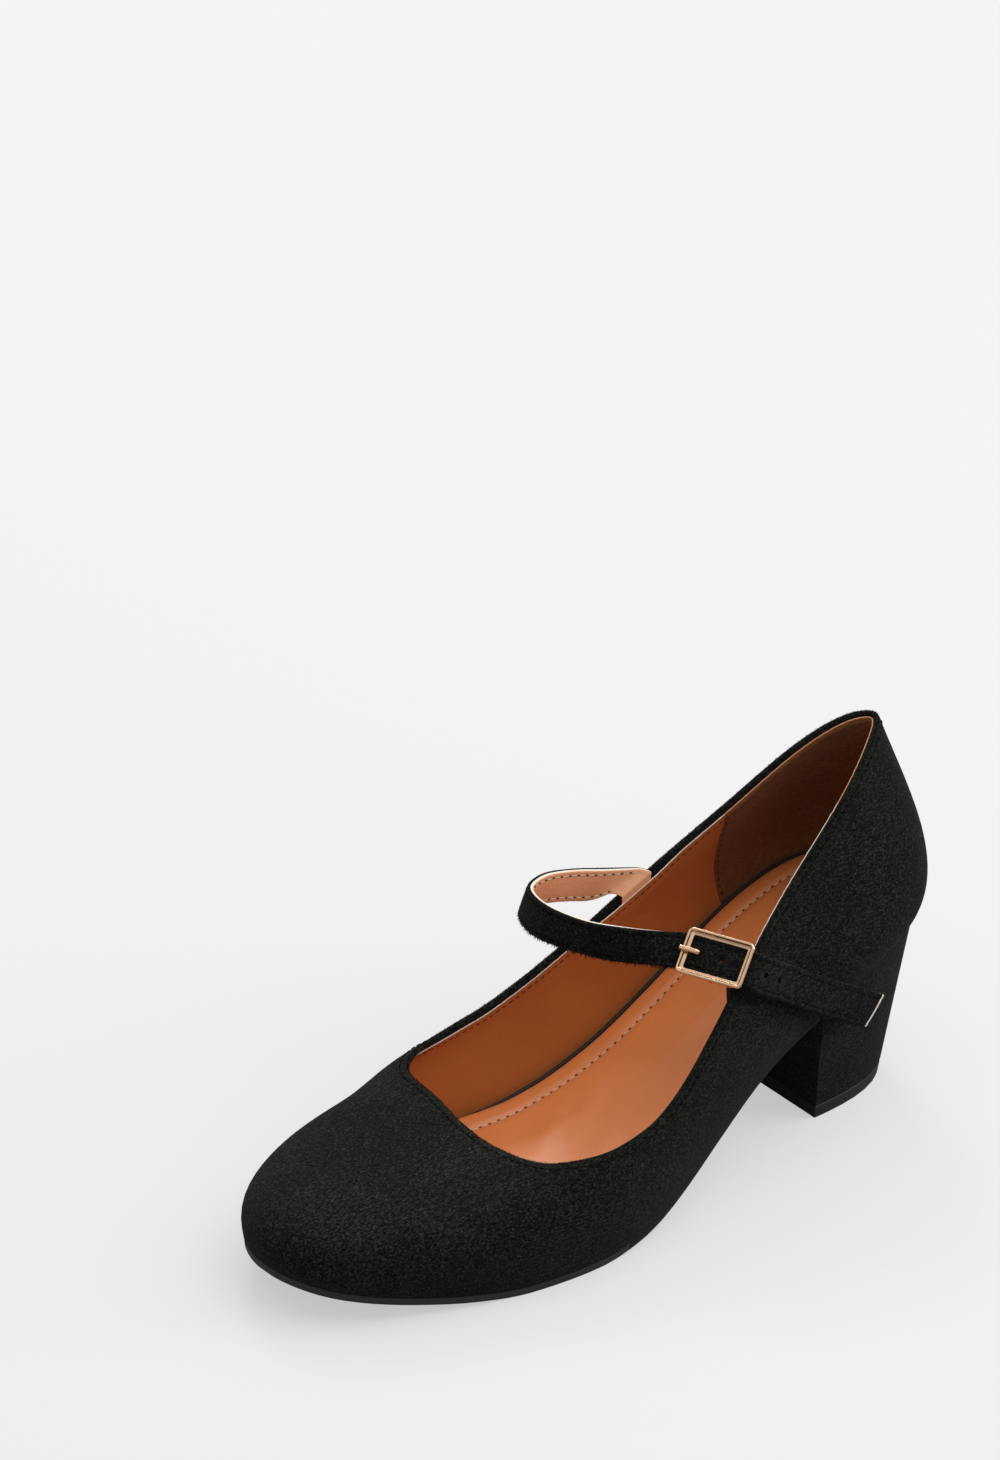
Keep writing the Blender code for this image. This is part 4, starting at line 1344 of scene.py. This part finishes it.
edge_turns = np.linspace(*LINING_SEAM, 700)
edge_downs = np.array([lining_drop(turn) for turn in edge_turns]) + LINING_STITCH
over_grip = GRIP_THICK * ((edge_turns > GRIP_START + GRIP_MARGIN) & (edge_turns < GRIP_END - GRIP_MARGIN))
edge_depths = FACE + over_grip + np.array([swell(turn, down) for turn, down in zip(edge_turns, edge_downs)])
stitch_row(
    "lining_edge_stitches",
    [wall_line(edge_turns, edge_downs, edge_depths)],
    BROWN_THREAD_AND_HOLE_SHADE,
    pitch=0.0024,
    length=0.0015,
    width=0.00042,
)
seam_lines = []
for end in (-1, 1):
    shares = np.linspace(0.05, 0.97, 120)
    turns = seam_around(shares, end) - end * GRIP_STITCH
    lengths = np.array([wall_length(turn) for turn in turns])
    seam_lines.append(wall_line(turns, lengths * shares, FACE + GRIP_THICK))
stitch_row("heel_grip_stitches", seam_lines, BROWN_THREAD_AND_HOLE_SHADE, 0.0026, 0.0016, 0.0006)

# %% [markdown]
# A row of black stitching holds the folded edge of the suede a few millimetres below the topline. It sinks
# into the nap, so only its shadow side shows.

# %% Topline stitches
TOPLINE_STITCH = 0.0026
top_turns = np.linspace(0.0, 1.0, 1600)
top_points, top_normals = wall_line(top_turns, TOPLINE_STITCH, 0.0, -1.0)
stitch_row(
    "topline_stitches",
    [(top_points, top_normals)],
    BLACK_THREAD,
    pitch=0.0024,
    length=0.0019,
    width=0.00042,
)

# %% [markdown]
# The section of the strap has a soft suede face with a worn edge, a step where the pale core shows, and a
# flat tan face. Stitching near both edges pulls the suede down into two shallow channels.

# %% Strap body
STRAP_STATIONS = 360
SECTION_SUEDE = [
    (0.0, 0.5), (0.0, 0.24), (0.006, 0.06), (0.03, -0.03), (0.075, -0.06), (0.115, -0.02), (0.14, 0.02),
    (0.165, -0.02), (0.21, -0.07), (0.35, -0.09), (0.5, -0.1), (0.65, -0.09), (0.79, -0.07), (0.835, -0.02),
    (0.86, 0.02), (0.885, -0.02), (0.925, -0.06), (0.97, -0.03), (0.994, 0.06), (1.0, 0.24), (1.0, 0.5),
]
SECTION_CORE = [(0.994, 0.56), (0.994, 0.86)]
SECTION_TAN = [
    (0.998, 0.9), (0.985, 1.0), (0.9, 1.02), (0.86, 0.96), (0.82, 1.02), (0.6, 1.03),
    (0.4, 1.03), (0.18, 1.02), (0.14, 0.96), (0.1, 1.02), (0.015, 1.0), (0.002, 0.9),
]
SECTION_CORE_BACK = [(0.006, 0.86), (0.006, 0.56)]
section = SECTION_SUEDE + SECTION_CORE + SECTION_TAN + SECTION_CORE_BACK
suede_last = len(SECTION_SUEDE) - 1
tan_first = len(SECTION_SUEDE) + len(SECTION_CORE)
tan_last = tan_first + len(SECTION_TAN) - 1
END_ROUNDING = 0.00045
ROOT_DEPTH = 0.007
ROOT_START = 0.012
ROOT_STEPS = 12
ROOT_CREST = 0.0008
ROOT_AHEAD = 12
END_RINGS = 5
LOOP_END = 0.6
stations = np.concatenate([np.linspace(ROOT_START, 1 - END_ROUNDING / strap_length, STRAP_STATIONS), [1.0]])
across = np.array([pair[0] for pair in section])
depth = np.array([pair[1] for pair in section])
strap_rings = []
for number, station in enumerate(stations):
    tuck = 0.985 if number == len(stations) - 1 else 1.0
    strap_rings.append(strap_at(station, 0.5 + (across - 0.5) * tuck, 0.5 + (depth - 0.5) * tuck))
for shrink in (0.8, 0.6, 0.0):
    strap_rings.append(strap_at(1.0, 0.5 + (across - 0.5) * shrink, 0.5 + (depth - 0.5) * shrink))
hidden = [root_place(across, ROOT_DEPTH * share, depth) for share in (1.0, 0.7, 0.45, 0.22)]
crest = root_place(across, 0.0002, depth) + (0.0, 0.0, ROOT_CREST)
guides = np.array([hidden[-1], crest, strap_rings[0], strap_rings[ROOT_AHEAD]])
joining = through(guides, np.linspace(1, 2, ROOT_STEPS)[1:-1])
buried = np.tile(root_place(0.5, ROOT_DEPTH, 0.5), (len(section), 1))
strap_rings = [buried, *hidden, crest, *joining, *strap_rings]
strap_grid = np.array(strap_rings)[:, ::-1]
SECTION_SIZE = len(section)


def strap_material(corners):
    """0 suede, 1 tan lining, 2 the pale core: it shows on the loop's upper edge and at the cut end."""
    rows = [row for row, _ in corners]
    places = [SECTION_SIZE - 1 - column for _, column in corners]
    if min(rows) >= len(strap_rings) - END_RINGS:
        return 2
    if max(places) <= suede_last and max(places) - min(places) < 3:
        return 0
    if min(places) >= tan_first and max(places) <= tan_last:
        return 1
    wraps = max(places) - min(places) > 3
    on_upper_edge = wraps or min(places) >= tan_last
    return 2 if on_upper_edge and max(rows) < LOOP_END * len(strap_rings) else 0


strap_body = loft(strap_grid, closed=False, material_of=strap_material)
bmesh.ops.remove_doubles(strap_body, verts=strap_body.verts[:], dist=1e-6)
strap_body = facing_out(strap_body)
strap = add_piece(
    "strap_suede", strap_body, [BLACK_SUEDE, STRAP_TAN, RAW_EDGE], pieces_replaced=["strap"]
)


# %% Holes in the strap
HOLE_SAME = 0.003
HOLE_RADIUS = 0.00085
HOLE_SEGMENTS = 24


def hole_centres():
    """How far along the strap each punched hole is, from the small sharp rings on its two faces."""
    shape = welded("strap")
    small_rings = [loop for loop in sharp_loops(shape, STRAP_SHARP) if 8 < len(loop) < 60]
    shape.free()
    fine = np.linspace(0, 1, 2000)
    line = strap_at(fine, 0.5, 0.5)
    found = []
    for ring in small_rings:
        nearest = int(np.argmin(np.linalg.norm(line - strap_places[ring].mean(axis=0), axis=1)))
        found.append(float(fine[nearest]))
    groups = []
    for place in sorted(found):
        if groups and place - groups[-1][-1] < HOLE_SAME / strap_length:
            groups[-1].append(place)
        else:
            groups.append([place])
    return [sum(group) / len(group) for group in groups]


holes = hole_centres()
print("holes along the strap:", [round(hole, 4) for hole in holes])
for hole in holes:
    face, behind = strap_at(hole, 0.5, -0.4), strap_at(hole, 0.5, 1.4)
    axis = Vector((behind - face).tolist())
    punch = bmesh.new()
    turn = axis.to_track_quat("Z", "Y").to_matrix().to_4x4()
    bmesh.ops.create_cone(
        punch, cap_ends=True, segments=HOLE_SEGMENTS, radius1=HOLE_RADIUS, radius2=HOLE_RADIUS,
        depth=axis.length * 1.5, matrix=Matrix.Translation(((face + behind) / 2).tolist()) @ turn,
    )
    punch_mesh = mesh_of("punch", punch)
    # The punch's faces carry the black suede, so the walls of each hole are black through the whole strap:
    # painted shade inside the hole.
    punch_mesh.materials.append(BLACK_SUEDE)
    punch_tool = add_object("punch", punch_mesh)
    cut = strap.modifiers.new("hole", "BOOLEAN")
    cut.operation = "DIFFERENCE"
    cut.solver = "EXACT"
    cut.object = punch_tool
    bpy.context.view_layer.update()
    drilled = bpy.data.meshes.new_from_object(strap.evaluated_get(bpy.context.evaluated_depsgraph_get()))
    strap.modifiers.clear()
    strap.data = drilled
    bpy.data.objects.remove(punch_tool)
print("strap with holes:", len(strap.data.polygons), "faces")

# %% Strap stitches
STRAP_STITCH = 0.14
stitch_stations = np.linspace(0.004, 0.994, 500)
strap_rows_out = []
strap_rows_in = []
for across_at in (STRAP_STITCH, 1 - STRAP_STITCH):
    face = strap_at(stitch_stations, across_at, 0.02)
    reverse = strap_at(stitch_stations, across_at, 0.98)
    outward_normals = unit(face - reverse)
    strap_rows_out.append((face, outward_normals))
    strap_rows_in.append((reverse, -outward_normals))
stitch_row("strap_stitches", strap_rows_out, BLACK_THREAD, 0.0026, 0.0021, 0.0004)
stitch_row("strap_lining_stitches", strap_rows_in, CREAM_THREAD, 0.0026, 0.0019, 0.00042)
# Dark beads between the stitches are painted shade in the needle holes.
stitch_row(
    "strap_pinhole_shade", strap_rows_in, BROWN_THREAD_AND_HOLE_SHADE, 0.0026, 0.0007, 0.0006,
    sink=0.4, between=True,
)

# %% [markdown]
# ## The buckle
#
# The frame is one casting: a flat rectangular rim with rounded corners, bevelled down towards the window, and
# a staple-shaped bar hung under it for the elastic and the prong. The solid gives the three directions of the
# buckle. They are the directions in which its vertices spread most, less and least.


# %% Axes of the buckle
def main_axes(node):
    """(places, centre, long, wide and outward directions) of a flat node."""
    places = node_places(node)
    centre = places.mean(axis=0)
    _, directions = np.linalg.eigh(np.cov((places - centre).T))
    outward_axis, wide, long_axis = directions.T
    outward_axis = outward_axis * np.sign(outward_axis[2])
    long_axis = long_axis * np.sign(long_axis[0])
    wide = np.cross(outward_axis, long_axis)
    return places, centre, long_axis, wide, outward_axis


frame_places, frame_centre, LONG, WIDE, OUTWARD = main_axes("buckle_frame")
local = (frame_places - frame_centre) @ np.array([LONG, WIDE, OUTWARD]).T
low_corner, high_corner = local.min(axis=0), local.max(axis=0)
BAR_WIRE = 0.0012
print("buckle size:", (high_corner - low_corner).round(5))


def on_buckle(along, across, out):
    """A point of the buckle from its middle; out is measured down from the rim's face."""
    middle_long = (low_corner[0] + high_corner[0]) / 2
    middle_wide = (low_corner[1] + high_corner[1]) / 2
    return (
        frame_centre
        + LONG * (along + middle_long)
        + WIDE * (across + middle_wide)
        + OUTWARD * (out + high_corner[2])
    )


# %% Rim
HALF_LONG = float(high_corner[0] - low_corner[0]) / 2
HALF_WIDE = float(high_corner[1] - low_corner[1]) / 2
RIM_CORNER = 0.0019
CORNER_STEPS = 7
RIM_SECTION = [
    (0.0, -0.0006), (0.0, -0.0012), (0.00025, -0.0016), (0.0007, -0.0017), (0.0017, -0.00165),
    (0.0021, -0.00145), (0.00215, -0.0012), (0.00205, -0.0010), (0.0018, -0.00096), (0.00125, -0.00078),
    (0.00105, -0.00055), (0.00095, -0.00022), (0.0008, -0.00004), (0.0005, -0.00001), (0.00018, -0.00016),
    (0.00005, -0.00036),
]


def rim_outline(inset):
    """The rounded rectangle at a distance inside the outline."""
    radius = max(RIM_CORNER - inset, 0.0004)
    reach_long = HALF_LONG - inset - radius
    reach_wide = HALF_WIDE - inset - radius
    points = []
    for quarter in range(4):
        side_long = 1 if quarter in (0, 3) else -1
        side_wide = 1 if quarter in (0, 1) else -1
        for step in range(CORNER_STEPS + 1):
            angle = pi / 2 * (quarter + step / CORNER_STEPS)
            points.append(
                (side_long * reach_long + radius * cos(angle), side_wide * reach_wide + radius * sin(angle))
            )
    return np.array(points)


rim_rings = []
for inset, out in RIM_SECTION:
    outline = rim_outline(inset)
    rim_rings.append(np.array([on_buckle(along, across_by, out) for along, across_by in outline]))
rim_shape = facing_out(loft(np.array(rim_rings), closed=True))
rim = add_piece("buckle_rim", rim_shape, [GOLD], pieces_replaced=["buckle_frame"])
rim_smooth = rim.modifiers.new("cast", "SUBSURF")
rim_smooth.levels = 2
rim_smooth.render_levels = 2


# %% [markdown]
# Wire pieces, such as the bar and the prong, are round tubes along a path. The prong's ends are closed and
# rounded; the bar's ends are left open.


# %% Wires
CAP_PUSHES = (0.32, 0.6, 0.9)


def wire_shape(path, width, thick, facing, sides=14, round_ends=True):
    """A tube along a path; width runs across the path, and thick along the facing direction."""
    path = np.asarray(path, float)
    facing = np.asarray(facing, float)
    along = unit(np.gradient(path, axis=0))
    rings_made = []
    for place, direction in zip(path, along):
        out = facing - direction * (facing @ direction)
        if np.linalg.norm(out) < 0.15:
            out = np.array(OUTWARD) - direction * (np.array(OUTWARD) @ direction) + out
        out /= np.linalg.norm(out)
        side = np.cross(direction, out)
        angles = np.linspace(0, tau, sides, endpoint=False)
        ring = place + np.outer(np.cos(angles), side) * width / 2 + np.outer(np.sin(angles), out) * thick / 2
        rings_made.append(ring)
    rings_made = np.array(rings_made)
    if round_ends:
        ends = []
        for end, sign in ((0, -1), (-1, 1)):
            centre = rings_made[end].mean(axis=0)
            extra = [
                centre
                + (rings_made[end] - centre) * max(0.0, 1 - push**2) ** 0.5
                + along[end] * sign * push * thick / 2
                for push in CAP_PUSHES
            ]
            extra.append(np.repeat((centre + along[end] * sign * thick / 2)[None], sides, axis=0))
            ends.append(extra)
        rings_made = np.array([*ends[0][::-1], *rings_made, *ends[1]])
    shape = loft(rings_made, closed=False)
    bmesh.ops.remove_doubles(shape, verts=shape.verts[:], dist=1e-7)
    return facing_out(shape)


def smooth_path(points, count):
    points = np.asarray(points, float)
    return through(points, np.linspace(0, len(points) - 1, count))


# %% Centre bar
bar_drop = float(low_corner[2] - high_corner[2]) + BAR_WIRE / 2
bar_reach = HALF_WIDE - 0.00085
staple = [
    (-bar_reach, -0.001),
    (-bar_reach, bar_drop + 0.0011),
    (-bar_reach + 0.0003, bar_drop + 0.0003),
    (-bar_reach + 0.0011, bar_drop),
    (0.0, bar_drop),
    (bar_reach - 0.0011, bar_drop),
    (bar_reach - 0.0003, bar_drop + 0.0003),
    (bar_reach, bar_drop + 0.0011),
    (bar_reach, -0.001),
]
staple_path = smooth_path([on_buckle(0.0, across_by, out) for across_by, out in staple], 60)
bar_shape = wire_shape(staple_path, BAR_WIRE, BAR_WIRE, LONG, round_ends=False)
add_piece("buckle_centre_bar", bar_shape, [GOLD])

# %% [markdown]
# The prong is hooked round the centre bar, comes up through the first hole and lies on the left bar. Its
# solid is a tube, and one side of that tube, brought to the middle, gives the path.


# %% Prong
PRONG_WIDTH = 0.0016
PRONG_THICK = 0.00112


def buckle_local(places):
    """Places in the buckle's own directions, as (along, across, out)."""
    return (np.asarray(places) - on_buckle(0.0, 0.0, 0.0)) @ np.array([LONG, WIDE, OUTWARD]).T


prong_places = buckle_local(node_places("buckle_prong"))
one_side = prong_places[prong_places[:, 1] > 0.9 * prong_places[:, 1].max()]
prong_line = [one_side[np.argmin(one_side[:, 0])]]
waiting = [place for place in one_side if (place != prong_line[0]).any()]
while waiting:
    waiting.sort(key=lambda place: float(np.linalg.norm(place - prong_line[-1])))
    prong_line.append(waiting.pop(0))
prong_path = smooth_path([on_buckle(place[0], 0.0, place[2]) for place in prong_line], 90)
add_piece(
    "buckle_prong_hook",
    wire_shape(prong_path, PRONG_WIDTH, PRONG_THICK, OUTWARD),
    [GOLD],
    pieces_replaced=["buckle_prong"],
)

# %% [markdown]
# ## The elastic
#
# A short loop of black ribbed elastic hangs from the centre bar and is sewn behind the topline. It lets the
# strap give when the foot bends. Its solid already has the right path, so only its edges are softened.

# %% Elastic
ELASTIC_ROUNDING = 0.0003
add_piece(
    "elastic_loop",
    softened("buckle_elastic", SHARP, ELASTIC_ROUNDING, 2),
    [make_ribbon(tuple(WIDE))],
    pieces_replaced=["buckle_elastic"],
)

# %% [markdown]
# ## Loose fibres
#
# Suede frays where it is cut. Short fibres hang from the lower edge of the strap and stand along its upper
# edge and along the topline. Each is a thin three-sided spike.

# %% Frayed edges
FIBRE_SEED = 11
FIBRE_DEPTH = 0.18


def fray(name, lines, count, length, width, spread=0.5):
    """Fibres along lines of (points, outward directions, sideways directions)."""
    chance = np.random.default_rng(FIBRE_SEED)
    placed = []
    for points, outward, sideways in lines:
        for pick in chance.uniform(0, len(points) - 1.001, count):
            index = int(pick)
            share = pick - index
            root = points[index] * (1 - share) + points[index + 1] * share
            grow = outward[index] + sideways[index] * chance.normal(0, spread) + chance.normal(0, 0.3, 3)
            reach = length * chance.uniform(0.35, 1.0)
            turn = Vector(grow.tolist()).to_track_quat("Z", "Y").to_matrix().to_4x4()
            middle = Vector((root + grow / np.linalg.norm(grow) * reach * 0.4).tolist())
            placed.append((Matrix.Translation(middle) @ turn, reach))

    def one_fibre(batch, fibre):
        matrix, reach = fibre
        bmesh.ops.create_cone(
            batch, cap_ends=True, segments=3, radius1=width / 2, radius2=width / 9, depth=reach, matrix=matrix
        )

    return add_piece(name, facing_out(in_batches(placed, one_fibre)), [BLACK_SUEDE])


def strap_edge_lines(across_at, outward_sign):
    """Where fibres root along an edge of the strap, with the directions outward and off the face."""
    stations_fine = np.linspace(0.03, 0.995, 400)
    points = strap_at(stations_fine, across_at, FIBRE_DEPTH)
    beyond = strap_at(stations_fine, across_at + 0.1 * outward_sign, FIBRE_DEPTH) - points
    face = strap_at(stations_fine, across_at, 0.0) - strap_at(stations_fine, across_at, 1.0)
    return points, unit(beyond), unit(face)


strap_lower, strap_upper = strap_edge_lines(1.0, 1.0), strap_edge_lines(0.0, -1.0)
fray("strap_fray_lower", [strap_lower], 1500, length=0.0012, width=0.00017)
fray("strap_fray_upper", [strap_upper], 400, length=0.0005, width=0.00012)
rim_turns = np.linspace(0, 1, 900)
rim_points = wall_at(rim_turns, 0.0004, 0.0002)
rim_up = wall_at(rim_turns, 0.0, WALL / 2) - wall_at(rim_turns, 0.004, WALL / 2)
rim_out = wall_at(rim_turns, 0.002, 0.0) - wall_at(rim_turns, 0.002, 0.001)
fray("topline_fray", [(rim_points, unit(rim_up), unit(rim_out))], 4200, 0.00055, 0.00013, 0.8)
